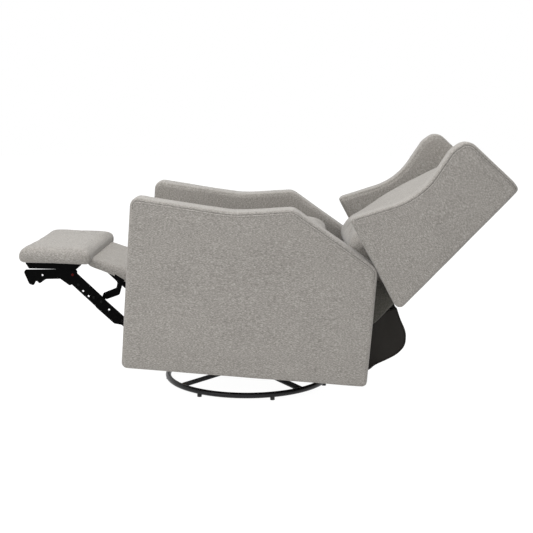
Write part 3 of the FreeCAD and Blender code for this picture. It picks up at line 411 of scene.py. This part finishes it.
def mouldedPlastic(name, colour):
    look = Shader(name, Specular_IOR_Level=0.4)
    grain = look.noise(look.place, 900.0, 2.0, 0.5)
    lighter = tuple(c * 1.5 for c in colour)
    look.feed(look.shader.inputs["Base Color"], look.ramp(grain, [(0.3, colour), (0.7, lighter)]))
    spread = look.add("ShaderNodeMapRange", Value=grain, To_Min=0.45, To_Max=0.6)
    look.feed(look.shader.inputs["Roughness"], spread.outputs["Result"])
    look.bump(grain, 0.2, 0.0003)
    return look.material


armCloth = wovenCloth("armCloth", chair["glideTilt"])
backCloth = wovenCloth("backCloth", chair["glideTilt"] + chair["backLean"])
# a darker copy of the back cloth for the lower back: painted shade, for the shadow it sits in behind the arms
lowerShadeCloth = wovenCloth("lowerShadeCloth", chair["glideTilt"] + chair["backLean"],
                        (0.050, 0.048, 0.040), (0.088, 0.084, 0.072), (0.150, 0.144, 0.125))
# thread darker than the cloth: partly the thread's own tone, partly painted shade so the stitch rows read as
# dark lines
threadAndShadeCloth = wovenCloth("threadAndShadeCloth", 0.0, (0.15, 0.14, 0.125), (0.19, 0.18, 0.165), (0.24, 0.225, 0.21))
# near-black cloth for the thin cords laid in the sewn seams: painted shade of the seam creases
seamCreaseShade = wovenCloth("seamCreaseShade", 0.0, (0.055, 0.050, 0.045), (0.08, 0.074, 0.067), (0.11, 0.102, 0.093))
dustCloth = blackCloth("dustCloth")
ringPaint = blackPaint("ringPaint", (0.0035, 0.0035, 0.0050), 0.30, (0.008, 0.008, 0.012), 0.30)
linkPaint = blackPaint("linkPaint", (0.0014, 0.0014, 0.0014), 0.42, (0.005, 0.005, 0.005), 0.03)
rivetPaint = blackPaint("rivetPaint", (0.0035, 0.0035, 0.0035), 0.35, (0.009, 0.009, 0.009), 0.08)
redPaint = blackPaint("redPaint", (0.055, 0.004, 0.0035), 0.4, (0.08, 0.010, 0.007), 0.05)
steel = platedSteel("zincSteel")
wood = plainWood("frameWood")
plastic = mouldedPlastic("blackPlastic", (0.012, 0.012, 0.012))


def dress(material, *names):
    for name in names:
        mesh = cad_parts[name].data
        mesh.materials.clear()
        mesh.materials.append(material)


def pair(name):
    return [name + "_left", name + "_right"]


dress(ringPaint, "foot_ring", "ring_braces", "hub_plate", "swivel_platform", *pair("glide_tower"),
      *pair("front_glide_link"), *pair("rear_glide_link"), "glide_carriage")
dress(linkPaint, *pair("mechanism_plate"), *pair("lower_link"), *pair("upper_link"), *pair("footrest_rail"),
      "calf_brackets", "calf_hinge_brackets", "front_lift_links", "rear_lift_links", *pair("seat_bracket"),
      *pair("back_bracket"))
dress(steel, "kingpin", "platform_bolts", "lower_race", "upper_race", "swivel_balls", "seat_springs",
      "back_springs")
dress(wood, *pair("side_panel"), "rear_rail", "front_rail", "corner_blocks", "seat_frame", "footrest_board",
      "calf_board", "back_panel", "back_rails", "seat_deck", *pair("back_post"))
dress(plastic, "foot_glides", "release_bezel", "release_lever")
print("materials ready")


# Stitches: short threads laid along a seam line

stitch = {"pitch": 0.0062, "length": 0.0042, "thread": 0.00055}


def newTree(name, values):
    # a node tree with a float input for each value, and a material input
    tree = bpy.data.node_groups.new(name, "GeometryNodeTree")
    face = tree.interface
    face.new_socket("Geometry", in_out="INPUT", socket_type="NodeSocketGeometry")
    for label, value in values.items():
        socket = face.new_socket(label, in_out="INPUT", socket_type="NodeSocketFloat")
        socket.default_value = value
    face.new_socket("Material", in_out="INPUT", socket_type="NodeSocketMaterial")
    face.new_socket("Geometry", in_out="OUTPUT", socket_type="NodeSocketGeometry")
    return tree


def stitchTree():
    tree = newTree("stitchRow", {
        "Pitch": stitch["pitch"], "Length": stitch["length"], "Thread": stitch["thread"],
    })
    add = tree.nodes.new
    link = tree.links.new
    start, end = add("NodeGroupInput"), add("NodeGroupOutput")
    line = add("GeometryNodeMeshToCurve")
    spots = add("GeometryNodeCurveToPoints")
    spots.mode = "LENGTH"
    rod = add("GeometryNodeMeshCylinder")
    rod.inputs["Vertices"].default_value = 6
    place = add("GeometryNodeInstanceOnPoints")
    real = add("GeometryNodeRealizeInstances")
    paint = add("GeometryNodeSetMaterial")
    link(start.outputs["Geometry"], line.inputs["Mesh"])
    link(line.outputs["Curve"], spots.inputs["Curve"])
    link(start.outputs["Pitch"], spots.inputs["Length"])
    link(start.outputs["Length"], rod.inputs["Depth"])
    link(start.outputs["Thread"], rod.inputs["Radius"])
    link(spots.outputs["Points"], place.inputs["Points"])
    link(spots.outputs["Rotation"], place.inputs["Rotation"])
    link(rod.outputs["Mesh"], place.inputs["Instance"])
    link(place.outputs["Instances"], real.inputs["Geometry"])
    link(real.outputs["Geometry"], paint.inputs["Geometry"])
    link(start.outputs["Material"], paint.inputs["Material"])
    link(paint.outputs["Geometry"], end.inputs["Geometry"])
    return tree


stitches = stitchTree()


def socketOf(tree, name):
    return [item.identifier for item in tree.interface.items_tree
            if item.name == name and item.item_type == "SOCKET" and item.in_out == "INPUT"][0]


def sewnRow(name, lines, space, body):
    # one mesh of stitches for several lines on the same body
    mesh = bpy.data.meshes.new(name)
    spots, edges = [], []
    for line in lines:
        first = len(spots)
        spots += [tuple(spot) for spot in line]
        edges += [(first + k, first + k + 1) for k in range(len(line) - 1)]
    mesh.from_pydata(spots, edges, [])
    row = newPiece(name, mesh)
    sewing = row.modifiers.new("Sewing", "NODES")
    sewing.node_group = stitches
    sewing[socketOf(stitches, "Material")] = threadAndShadeCloth
    bake(row)
    row.data.transform(space)
    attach(row, body)


seamWidth = 0.0007


def tubeAlong(name, line, radius, sides=10):
    spots = [Vector(spot) for spot in line]
    rings = []
    for k, spot in enumerate(spots):
        along = (spots[min(k + 1, len(spots) - 1)] - spots[max(k - 1, 0)]).normalized()
        across = along.cross(Vector((0.97, 0.2, 0.1))).normalized()
        over = along.cross(across)
        rings.append([tuple(spot + (across * math.cos(t) + over * math.sin(t)) * radius)
                      for t in (2 * math.pi * s / sides for s in range(sides))])
    return loftedPiece(name, rings)


# Rivet heads on the outer faces of the links, set out by one node tree

rivet = {
    "radius": 0.0048, "height": 0.0020, "dome": 0.0012, "ankle": [(-0.634, 0.386)],
    "upper": [(-0.612, 0.352), (-0.556, 0.311)], "lower": [(-0.528, 0.299), (-0.452, 0.236)],
}


def rivetTree():
    # a low cone on a short cylinder stands for a peened head, its axis across the chair
    tree = newTree("rivetHeads", {
        "Radius": rivet["radius"], "Height": rivet["height"], "Dome": rivet["dome"],
    })
    add = tree.nodes.new
    link = tree.links.new
    start, end = add("NodeGroupInput"), add("NodeGroupOutput")
    body, cap = add("GeometryNodeMeshCylinder"), add("GeometryNodeMeshCone")
    body.inputs["Vertices"].default_value = 20
    cap.inputs["Vertices"].default_value = 20
    narrow = add("ShaderNodeMath")
    narrow.operation = "MULTIPLY"
    narrow.inputs[1].default_value = 0.55
    half = add("ShaderNodeMath")
    half.operation = "MULTIPLY"
    half.inputs[1].default_value = 0.5
    lift = add("ShaderNodeCombineXYZ")
    raised = add("GeometryNodeTransform")
    head = add("GeometryNodeJoinGeometry")
    turned = add("GeometryNodeTransform")
    turned.inputs["Rotation"].default_value = (0, math.pi / 2, 0)
    place = add("GeometryNodeInstanceOnPoints")
    real = add("GeometryNodeRealizeInstances")
    paint = add("GeometryNodeSetMaterial")
    link(start.outputs["Radius"], body.inputs["Radius"])
    link(start.outputs["Height"], body.inputs["Depth"])
    link(start.outputs["Radius"], cap.inputs["Radius Bottom"])
    link(start.outputs["Radius"], narrow.inputs[0])
    link(narrow.outputs[0], cap.inputs["Radius Top"])
    link(start.outputs["Dome"], cap.inputs["Depth"])
    link(start.outputs["Height"], half.inputs[0])
    link(half.outputs[0], lift.inputs["Z"])
    link(cap.outputs["Mesh"], raised.inputs["Geometry"])
    link(lift.outputs["Vector"], raised.inputs["Translation"])
    link(body.outputs["Mesh"], head.inputs["Geometry"])
    link(raised.outputs["Geometry"], head.inputs["Geometry"])
    link(head.outputs["Geometry"], turned.inputs["Geometry"])
    link(start.outputs["Geometry"], place.inputs["Points"])
    link(turned.outputs["Geometry"], place.inputs["Instance"])
    link(place.outputs["Instances"], real.inputs["Geometry"])
    link(real.outputs["Geometry"], paint.inputs["Geometry"])
    link(start.outputs["Material"], paint.inputs["Material"])
    link(paint.outputs["Geometry"], end.inputs["Geometry"])
    return tree


rivets = rivetTree()


def rivetHeads(name, spots, body, material):
    mesh = bpy.data.meshes.new(name)
    mesh.from_pydata(spots, [], [])
    heads = newPiece(name, mesh)
    maker = heads.modifiers.new("Heads", "NODES")
    maker.node_group = rivets
    maker[socketOf(rivets, "Material")] = material
    bake(heads)
    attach(heads, body)


# Arms: upholstered slabs with a sewn seam and a row of stitches round the outer face

arm = {
    "corners": [(-0.4285, 0.103, 0.016), (0.410, 0.103, 0.014), (0.410, 0.511, 0.036), (0.116, 0.6895, 0.042),
                (-0.085, 0.6625, 0.42), (-0.4285, 0.6895, 0.026)],
    "edge": 0.009, "puff": 0.0035, "seamInset": 0.009, "rowGap": 0.007, "voxel": 0.007,
    "seamStart": (0.401, 0.46), "seamEnd": (-0.419, 0.645),
}


def insetLine(outline, inset, x):
    ring = outline + inwardNormals(outline) * inset
    return np.column_stack([np.full(len(ring), x), ring])


def openFrom(line, start, end):
    # the stretch of a closed line from the point nearest start to that nearest end
    first = np.argmin(np.linalg.norm(line[:, 1:] - start, axis=1))
    turned = np.roll(line, -first, 0)
    last = np.argmin(np.linalg.norm(turned[:, 1:] - end, axis=1))
    return turned[:last + 1]


def pillow(piece, outline, puff, reach=0.16):
    # both faces of a slab swell a little towards their middle
    spots, ways = points(piece), normals(piece)
    closed = np.vstack([outline, outline[:1]])
    flat = np.column_stack([np.zeros(len(spots)), spots[:, 1:]])
    gap = distanceTo(flat, np.column_stack([np.zeros(len(closed)), closed]), reach)
    share = np.clip(gap / reach, 0, 1)
    lift = puff * np.sin(share * math.pi / 2) * np.abs(ways[:, 0])
    spots[:, 0] += np.sign(ways[:, 0]) * lift
    setPoints(piece, spots)


def sewSide(side, name, piece, space, material, body, cord, rows):
    # the right side's piece is mirrored, and each is finished with its seam and stitches
    if side < 0:
        piece.data.transform(Matrix.Diagonal((-1, 1, 1, 1)))
        piece.data.flip_normals()
        cord = cord * (-1, 1, 1)
        rows = [line * (-1, 1, 1) for line in rows]
    finishPiece(piece, space, material, body, "upholstery", name)
    # the seam cord is painted crease shade
    finishPiece(tubeAlong(name + "Seam", cord, seamWidth, 6), space, seamCreaseShade, body, "upholstery")
    sewnRow(name + "Stitches", rows, space, body)


def makeArm(side, name):
    outline = roundedOutline(arm["corners"])
    low, high = chair["innerHalf"] + 0.0005, chair["outerHalf"] - 0.001
    piece = slab(name + "Cover", outline, low, high, arm["edge"])
    evenOut(piece, arm["voxel"])
    smoothDown(piece, 2)
    subdivide(piece)
    pillow(piece, outline, arm["puff"])
    ripple(piece, 0.0012, 0.11, 1 + side)
    spots = points(piece)
    spots[:, 0] = np.maximum(spots[:, 0], low)
    setPoints(piece, spots)
    outer = insetLine(outline, arm["seamInset"], high)
    inner = insetLine(outline, arm["seamInset"], low)
    seam = openFrom(outer, arm["seamStart"], arm["seamEnd"])
    row = openFrom(insetLine(outline, arm["seamInset"] + arm["rowGap"], high), seam[0][1:], seam[-1][1:])
    sinkSeam(piece, onSurface(piece, seam), 0.0022, 0.0035)
    sinkSeam(piece, onSurface(piece, inner), 0.0015, 0.004)
    cord = onSurface(piece, resample(seam, 0.005), -0.0002)
    rows = [onSurface(piece, resample(row, 0.004), 0.0002)]
    sewSide(side, name, piece, seatSpace, armCloth, "chair", cord, rows)


for sideName, side in (("left", 1), ("right", -1)):
    makeArm(side, "arm_" + sideName)
print("arms done")


# Wings: slabs beside the back, in the back's own space

wing = {
    "corners": [(0.2445, 0.293, 0.020), (0.2445, 0.8585, 0.012), (0.216, 0.8645, 0.020),
                (0.003, 0.8605, 0.042), (-0.009, 0.7945, 0.060), (0.014, 0.667, 0.200),
                (0.004, 0.581, 0.260), (-0.087, 0.417, 0.008), (-0.087, 0.4025, 0.008)],
    "thickness": 0.072, "edge": 0.010, "puff": 0.003, "seamInset": 0.010, "rowGap": 0.006, "voxel": 0.0065,
}


def makeWing(side, name):
    outline = roundedOutline(wing["corners"])
    high = chair["outerHalf"] - 0.0008
    low = chair["outerHalf"] - wing["thickness"] + 0.0005
    piece = slab(name + "Cover", outline, low, high, wing["edge"])
    evenOut(piece, wing["voxel"])
    smoothDown(piece, 2)
    subdivide(piece)
    pillow(piece, outline, wing["puff"], 0.12)
    ripple(piece, 0.0010, 0.09, 4 + side)
    outer = insetLine(outline, wing["seamInset"], high)
    seam = openFrom(outer, (0.236, 0.845), (-0.080, 0.412))
    row = openFrom(insetLine(outline, wing["seamInset"] + wing["rowGap"], high), seam[0][1:], seam[-1][1:])
    inner = openFrom(insetLine(outline, wing["seamInset"], low), (0.236, 0.845), (-0.080, 0.412))
    sinkSeam(piece, onSurface(piece, seam), 0.0022, 0.0035)
    sinkSeam(piece, onSurface(piece, inner), 0.0018, 0.004)
    cord = onSurface(piece, resample(seam, 0.005), -0.0002)
    rows = [onSurface(piece, resample(row, 0.004), 0.0002)]
    sewSide(side, name, piece, backSpace, backCloth, "back", cord, rows)


for sideName, side in (("left", 1), ("right", -1)):
    makeWing(side, "wing_" + sideName)
print("wings done")


# Seat cushion: a box cushion, swollen

seat = {
    "corners": [(-0.384, 0.458, 0.018), (0.250, 0.458, 0.020), (0.268, 0.535, 0.030), (0.268, 0.588, 0.028),
                (-0.380, 0.584, 0.045)],
    "half": 0.251, "edge": 0.026, "voxel": 0.009, "cap": 0.020,
}


def makeSeat():
    outline = roundedOutline(seat["corners"])
    piece = slab("seatCushionCover", outline, -seat["half"], seat["half"], seat["edge"])
    evenOut(piece, seat["voxel"])
    swell(piece, seat["cap"])
    subdivide(piece)
    ripple(piece, 0.0016, 0.09, 2)
    limit(piece, (-0.2655, -0.392, 0.4525), (0.2655, 0.276, 0.620))
    finishPiece(piece, seatSpace, armCloth, "seat", "upholstery", "seat_cushion")


makeSeat()


# Back cushion: lofted up the back, narrow between the arms and wide between the wings

backPad = {
    "stations": [(0.294, 0.036, 0.246), (0.299, 0.004, 0.252), (0.318, -0.012, 0.256), (0.380, -0.008, 0.256),
                 (0.425, 0.006, 0.276), (0.470, 0.018, 0.294), (0.540, 0.034, 0.298), (0.620, 0.058, 0.298),
                 (0.710, 0.088, 0.298), (0.780, 0.112, 0.295), (0.812, 0.136, 0.288), (0.822, 0.155, 0.280)],
    "rear": 0.188, "corner": 0.024, "voxel": 0.009, "cap": 0.014,
}


def padRing(front, half, height):
    # a rounded rectangle across the back, front edge crowned
    corner = backPad["corner"]
    ring = roundedOutline([(-half, front, corner), (half, front, corner), (half, backPad["rear"], 0.01),
                           (-half, backPad["rear"], 0.01)], 0.02)
    spots = []
    for x, y in ring:
        crown = 0.010 * (1 - (x / half) ** 2) if y < (front + backPad["rear"]) / 2 else 0
        spots.append((x, y - crown, height))
    return spots


def makeBackPad():
    rings = [padRing(front, half, height) for height, front, half in backPad["stations"]]
    count = min(len(ring) for ring in rings)
    even = []
    for ring in rings:
        line = np.vstack([ring, ring[:1]])
        run = np.concatenate([[0], np.cumsum(np.linalg.norm(np.diff(line, axis=0), axis=1))])
        spots = np.linspace(0, run[-1], count, endpoint=False)
        even.append([tuple(np.interp(s, run, line[:, k]) for k in range(3)) for s in spots])
    piece = loftedPiece("backCushionCover", even)
    evenOut(piece, backPad["voxel"])
    smoothDown(piece, 3)
    swell(piece, backPad["cap"])
    subdivide(piece)
    ripple(piece, 0.0018, 0.10, 3)
    limit(piece, (-0.3062, -0.03, 0.280), (0.3062, 0.1895, 0.840))
    spots = points(piece)
    low = spots[:, 2] < 0.405
    spots[low, 0] = np.clip(spots[low, 0], -0.2655, 0.2655)
    setPoints(piece, spots)
    finishPiece(piece, backSpace, backCloth, "back", "upholstery", "back_cushion")


makeBackPad()


# Outside of the back: cloth over the posts and rear board, and the padded foot between the arms

backShell = {"rear": 0.2400, "front": 0.1905, "half": 0.3065, "low": 0.308, "top": 0.853, "edge": 0.006}


def makeBackShell():
    front, rear, low, top = (backShell[key] for key in ("front", "rear", "low", "top"))
    outline = roundedOutline([(front, low, 0.006), (rear, low, 0.010), (rear, top, 0.012),
                              (front, top, 0.010)])
    piece = slab("backShellCover", outline, -backShell["half"], backShell["half"], backShell["edge"])
    evenOut(piece, 0.008)
    subdivide(piece)
    ripple(piece, 0.0008, 0.12, 6)
    finishPiece(piece, backSpace, backCloth, "back", "upholstery", "back_panel")


lowerBack = {
    "corners": [(0.128, 0.196, 0.020), (0.190, 0.1870, 0.010), (0.2405, 0.1870, 0.006),
                (0.2405, 0.335, 0.008), (0.176, 0.335, 0.010), (0.128, 0.290, 0.012)],
    "half": 0.2672, "edge": 0.007, "seam": 0.198,
}


def makeLowerBack():
    outline = roundedOutline(lowerBack["corners"])
    piece = slab("lowerBackCover", outline, -lowerBack["half"], lowerBack["half"], lowerBack["edge"])
    evenOut(piece, 0.007)
    smoothDown(piece, 1)
    subdivide(piece)
    ripple(piece, 0.0014, 0.05, 8)
    seams = []
    for x in (-lowerBack["half"], lowerBack["half"]):
        seams.append(np.array([(x, y, lowerBack["seam"]) for y in np.linspace(0.140, 0.236, 30)]))
    seams.append(np.array([(x, 0.239, lowerBack["seam"]) for x in np.linspace(-0.26, 0.26, 90)]))
    for line in seams:
        sinkSeam(piece, onSurface(piece, line), 0.0020, 0.003)
    cords = [onSurface(piece, resample(line, 0.006), 0.0001) for line in seams]
    limit(piece, (-0.2678, 0.120, 0.186), (0.2678, 0.2412, 0.345))
    # the lower back wears the darker cloth, which is painted shade
    finishPiece(piece, backSpace, lowerShadeCloth, "back", "upholstery", "lower_back_pad")
    for number, cord in enumerate(cords):
        # a dark cord in each seam, painted shade of the crease
        seam = tubeAlong("lowerBackSeam%d" % number, cord, seamWidth, 6)
        finishPiece(seam, backSpace, seamCreaseShade, "back", "upholstery")


makeBackShell()
makeLowerBack()
print("back done")


# Footrest pad and calf flap

footPad = {
    "rear": (0, -0.568, 0.427), "pitch": 2.6,
    "corners": [(-0.261, 0.002, 0.014), (0.001, 0.002, 0.014), (0.001, 0.048, 0.018), (-0.259, 0.050, 0.021)],
    "half": 0.259, "edge": 0.017, "voxel": 0.007, "cap": 0.008,
}


padSpace = (seatSpace @ Matrix.Translation(footPad["rear"])
            @ Matrix.Rotation(math.radians(footPad["pitch"]), 4, "X"))


def makeFootPad():
    outline = roundedOutline(footPad["corners"], 0.006)
    piece = slab("footrestPadCover", outline, -footPad["half"], footPad["half"], footPad["edge"])
    evenOut(piece, footPad["voxel"])
    swell(piece, footPad["cap"])
    subdivide(piece)
    ripple(piece, 0.0012, 0.06, 9)
    limit(piece, (-0.268, -0.279, 0.0), (0.268, 0.009, 0.072))
    finishPiece(piece, padSpace, armCloth, "footrest", "upholstery", "footrest_pad", "footrest_board")


calfPad = {
    "hinge": (0, -0.345, 0.371), "slope": 14.6,
    "corners": [(-0.253, -0.0150, 0.010), (-0.010, -0.0165, 0.006), (-0.010, 0.0110, 0.008),
                (-0.253, 0.0115, 0.011)],
    "half": 0.2115, "edge": 0.009, "voxel": 0.005, "cap": 0.004, "hemFrom": 0.165,
    "hemDrop": [(-0.30, 0.0), (-0.20, 0.003), (-0.15, 0.010), (-0.11, 0.022), (-0.08, 0.034),
                (-0.05, 0.040), (0.0, 0.040)],
}
calfSpace = (seatSpace @ Matrix.Translation(calfPad["hinge"])
             @ Matrix.Rotation(math.radians(-calfPad["slope"]), 4, "X"))


def makeCalfPad():
    # the flap's sides hang lower towards the seat
    outline = roundedOutline(calfPad["corners"], 0.004)
    piece = slab("calfPadCover", outline, -calfPad["half"], calfPad["half"], calfPad["edge"])
    evenOut(piece, calfPad["voxel"])
    swell(piece, calfPad["cap"], 3.0)
    ripple(piece, 0.0016, 0.05, 10)
    spots = points(piece)
    drop = np.interp(spots[:, 1], *zip(*calfPad["hemDrop"]))
    share = np.clip((np.abs(spots[:, 0]) - calfPad["hemFrom"]) / (calfPad["half"] - calfPad["hemFrom"]), 0, 1)
    below = np.clip((0.012 - spots[:, 2]) / 0.026, 0, 1)
    spots[:, 2] -= drop * share ** 2 * (0.25 + 0.75 * below)
    setPoints(piece, spots)
    finishPiece(piece, calfSpace, armCloth, "calf", "upholstery", "calf_pad", "calf_board")


makeFootPad()
makeCalfPad()


def linkRivets():
    # heads on the outer faces of the upper and lower links, the one at the footrest rail is red
    for sideName, side in (("Left", 1), ("Right", -1)):
        node = sideName.lower()
        upper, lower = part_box("upper_link_" + node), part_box("lower_link_" + node)
        upperX = max(abs(upper[0][0]), abs(upper[1][0]))
        lowerX = max(abs(lower[0][0]), abs(lower[1][0]))

        def onFace(x, spots):
            return [tuple(seatSpace @ Vector((side * (x + rivet["height"] / 2), y, z))) for y, z in spots]

        rivetHeads("ankleRivet" + sideName, onFace(upperX, rivet["ankle"]), "upper_links", redPaint)
        rivetHeads("upperRivets" + sideName, onFace(upperX, rivet["upper"]), "upper_links", rivetPaint)
        rivetHeads("lowerRivets" + sideName, onFace(lowerX, rivet["lower"]), "lower_links", rivetPaint)


linkRivets()
print("footrest done")


# Rear dust cover: black cloth from the foot of the back to the rear rail, with a piped edge

dust = {
    "profile": [(0.390, 0.128), (0.421, 0.136), (0.443, 0.156), (0.484, 0.180), (0.514, 0.201),
                (0.535, 0.228), (0.539, 0.256), (0.533, 0.283), (0.515, 0.320), (0.497, 0.362)],
    "down": 48, "across": 60, "deep": 14, "wave": 0.006, "fold": 0.006, "tuck": 0.004, "droop": 0.010,
    "droopFrom": 0.13, "droopSpan": 0.23,
    "half": 0.258, "piping": 0.0022, "thickness": 0.0016, "flat": (0.80, 0.33), "area": 0.215,
}


def backPoint(v, u):
    turn = math.radians(chair["backLean"])
    return (chair["pivotY"] + v * math.cos(turn) + u * math.sin(turn),
            chair["pivotZ"] - v * math.sin(turn) + u * math.cos(turn))


def smoothLine(line, count):
    # a Catmull-Rom line through the given points
    spots = [np.array(spot, float) for spot in line]
    spots = [2 * spots[0] - spots[1]] + spots + [2 * spots[-1] - spots[-2]]
    out = []
    for a, b, c, d in zip(spots, spots[1:], spots[2:], spots[3:]):
        for k in range(count):
            s = k / count
            bend = (2 * a - 5 * b + 4 * c - d) * s ** 2 + (3 * b - a - 3 * c + d) * s ** 3
            out.append(0.5 * (2 * b + (c - a) * s + bend))
    out.append(spots[-2])
    return np.array(out)


def makeDustCover():
    outer = smoothLine(dust["profile"], 6)
    front = smoothLine([(0.388, 0.128), (0.388, 0.20), (0.389, 0.26), backPoint(0.205, 0.186)], 5)
    count, across, half = dust["down"], dust["across"], dust["half"]
    outer = resample(outer, np.linalg.norm(np.diff(outer, axis=0), axis=1).sum() / count)
    front = resample(front, np.linalg.norm(np.diff(front, axis=0), axis=1).sum() / count)
    net = bmesh.new()
    rows = []
    for k in range(across + 1):
        x = half * (2 * k / across - 1)
        row = []
        for y, z in outer:
            sag = dust["wave"] * math.sin(k * 0.55) * noise.noise(Vector((x * 6, y * 9, z * 9 + 4)))
            level = min(1, max(0, (z - dust["droopFrom"]) / dust["droopSpan"]))
            droop = dust["droop"] * (1 - (x / half) ** 2) * math.sin(math.pi * level)
            row.append(net.verts.new((x, y + sag - droop * 0.4, z + sag * 0.5)))
        rows.append(row)
    for a, b in zip(rows, rows[1:]):
        for k in range(len(a) - 1):
            net.faces.new((a[k], a[k + 1], b[k + 1], b[k]))
    steps = dust["deep"]
    for edgeRow, side in ((rows[0], -1), (rows[-1], 1)):
        last = edgeRow
        for s in range(1, steps + 1):
            share = s / steps
            row = []
            for (oy, oz), (fy, fz) in zip(outer, front):
                y, z = oy + (fy - oy) * share, oz + (fz - oz) * share
                arch = math.sin(math.pi * share)
                fold = dust["fold"] * arch * noise.noise(Vector((y * 14, z * 10, side * 3.0)))
                row.append(net.verts.new((side * (half - dust["tuck"] * arch + fold), y, z)))
            for k in range(len(row) - 1):
                quad = (last[k], last[k + 1], row[k + 1], row[k])
                net.faces.new(quad if side > 0 else quad[::-1])
            last = row
    bmesh.ops.recalc_face_normals(net, faces=net.faces)
    mesh = bpy.data.meshes.new("dustCover")
    net.to_mesh(mesh)
    net.free()
    piece = newPiece("dustCover", mesh)
    wall = piece.modifiers.new("Wall", "SOLIDIFY")
    wall.thickness = dust["thickness"]
    wall.offset = -1
    bake(piece)
    finishPiece(piece, seatSpace, dustCloth, None, "dust_cloth", "rear_dust_cover")
    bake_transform(piece)
    rim, ropes = [], []
    for side in (-1, 1):
        rim.append([(side * dust["half"], y, z) for y, z in outer])
    for name, line in zip(("pipingRight", "pipingLeft"), rim):
        rope = tubeAlong("dust" + name.capitalize(), line, dust["piping"])
        finishPiece(rope, seatSpace, dustCloth, None, "dust_cloth")
        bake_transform(rope)
        ropes.append(rope)


makeDustCover()
print("dust cover done")


# Camera, at the place from which the photograph was taken

view = {"place": (3.656, 0.1357, 1.0455), "pitch": 0.16835, "yaw": -0.01828, "lens": 67.54}


def makeCamera():
    camera = bpy.data.objects.new("camera", bpy.data.cameras.new("camera"))
    scene.collection.objects.link(camera)
    pitch, yaw = view["pitch"], view["yaw"]
    forward = Vector((-math.cos(yaw) * math.cos(pitch), math.sin(yaw) * math.cos(pitch), -math.sin(pitch)))
    camera.location = Vector(view["place"]) + Vector((0, ringY, 0))
    camera.rotation_mode = "QUATERNION"
    camera.rotation_quaternion = forward.to_track_quat("-Z", "Y")
    camera.data.lens = view["lens"]
    camera.data.sensor_width = 36
    camera.data.clip_end = 60
    scene.camera = camera


light = {
    "world": 0.62, "topPower": 78, "frontPower": 28, "floorWhite": 0.84, "floorGlow": 1.16, "floorReach": 14,
}


def makeStudio():
    world = bpy.data.worlds.new("studio")
    scene.world = world
    world.use_nodes = True
    tree = world.node_tree
    tree.nodes.clear()
    path = tree.nodes.new("ShaderNodeLightPath")
    seen = tree.nodes.new("ShaderNodeMath")
    seen.operation = "MAXIMUM"
    also = tree.nodes.new("ShaderNodeMath")
    also.operation = "MAXIMUM"
    tree.links.new(path.outputs["Is Camera Ray"], seen.inputs[0])
    tree.links.new(path.outputs["Is Glossy Ray"], seen.inputs[1])
    tree.links.new(seen.outputs[0], also.inputs[0])
    tree.links.new(path.outputs["Is Transmission Ray"], also.inputs[1])
    soft, white = tree.nodes.new("ShaderNodeBackground"), tree.nodes.new("ShaderNodeBackground")
    soft.inputs["Strength"].default_value = light["world"]
    mix = tree.nodes.new("ShaderNodeMixShader")
    tree.links.new(also.outputs[0], mix.inputs[0])
    tree.links.new(soft.outputs[0], mix.inputs[1])
    tree.links.new(white.outputs[0], mix.inputs[2])
    tree.links.new(mix.outputs[0], tree.nodes.new("ShaderNodeOutputWorld").inputs[0])
    for node in (soft, white):
        node.inputs["Color"].default_value = (1, 1, 1, 1)
    for name, place, power, size in (("topLamp", (0.6, -0.2, 3.2), light["topPower"], 2.4),
                                     ("frontLamp", (2.2, -2.6, 2.2), light["frontPower"], 1.8)):
        lamp = bpy.data.objects.new(name, bpy.data.lights.new(name, "AREA"))
        lamp.data.energy = power
        lamp.data.size = size
        lamp.location = place
        lamp.rotation_mode = "QUATERNION"
        lamp.rotation_quaternion = (Vector((0, 0, 0.4)) - Vector(place)).to_track_quat("-Z", "Y")
        scene.collection.objects.link(lamp)


def makeFloor():
    mesh = bpy.data.meshes.new("studioFloor")
    reach = light["floorReach"]
    corners = [(-reach, -reach, 0), (reach, -reach, 0), (reach, reach, 0), (-reach, reach, 0)]
    mesh.from_pydata(corners, [], [(0, 1, 2, 3)])
    ground = newPiece("studioFloor", mesh)
    paint = bpy.data.materials.new("floorWhite")
    paint.use_nodes = True
    tree = paint.node_tree
    tree.nodes.clear()
    plain, glow = tree.nodes.new("ShaderNodeBsdfDiffuse"), tree.nodes.new("ShaderNodeEmission")
    plain.inputs["Color"].default_value = (0.9, 0.9, 0.9, 1)
    glow.inputs["Strength"].default_value = light["floorGlow"]
    path = tree.nodes.new("ShaderNodeLightPath")
    seen = tree.nodes.new("ShaderNodeMath")
    seen.operation = "MAXIMUM"
    tree.links.new(path.outputs["Is Camera Ray"], seen.inputs[0])
    tree.links.new(path.outputs["Is Glossy Ray"], seen.inputs[1])
    share = tree.nodes.new("ShaderNodeMath")
    share.operation = "MULTIPLY"
    share.inputs[1].default_value = light["floorWhite"]
    tree.links.new(seen.outputs[0], share.inputs[0])
    mix = tree.nodes.new("ShaderNodeMixShader")
    tree.links.new(share.outputs[0], mix.inputs[0])
    tree.links.new(plain.outputs[0], mix.inputs[1])
    tree.links.new(glow.outputs[0], mix.inputs[2])
    tree.links.new(mix.outputs[0], tree.nodes.new("ShaderNodeOutputMaterial").inputs[0])
    mesh.materials.append(paint)


makeCamera()
makeStudio()
makeFloor()
scene.view_settings.view_transform = "Standard"
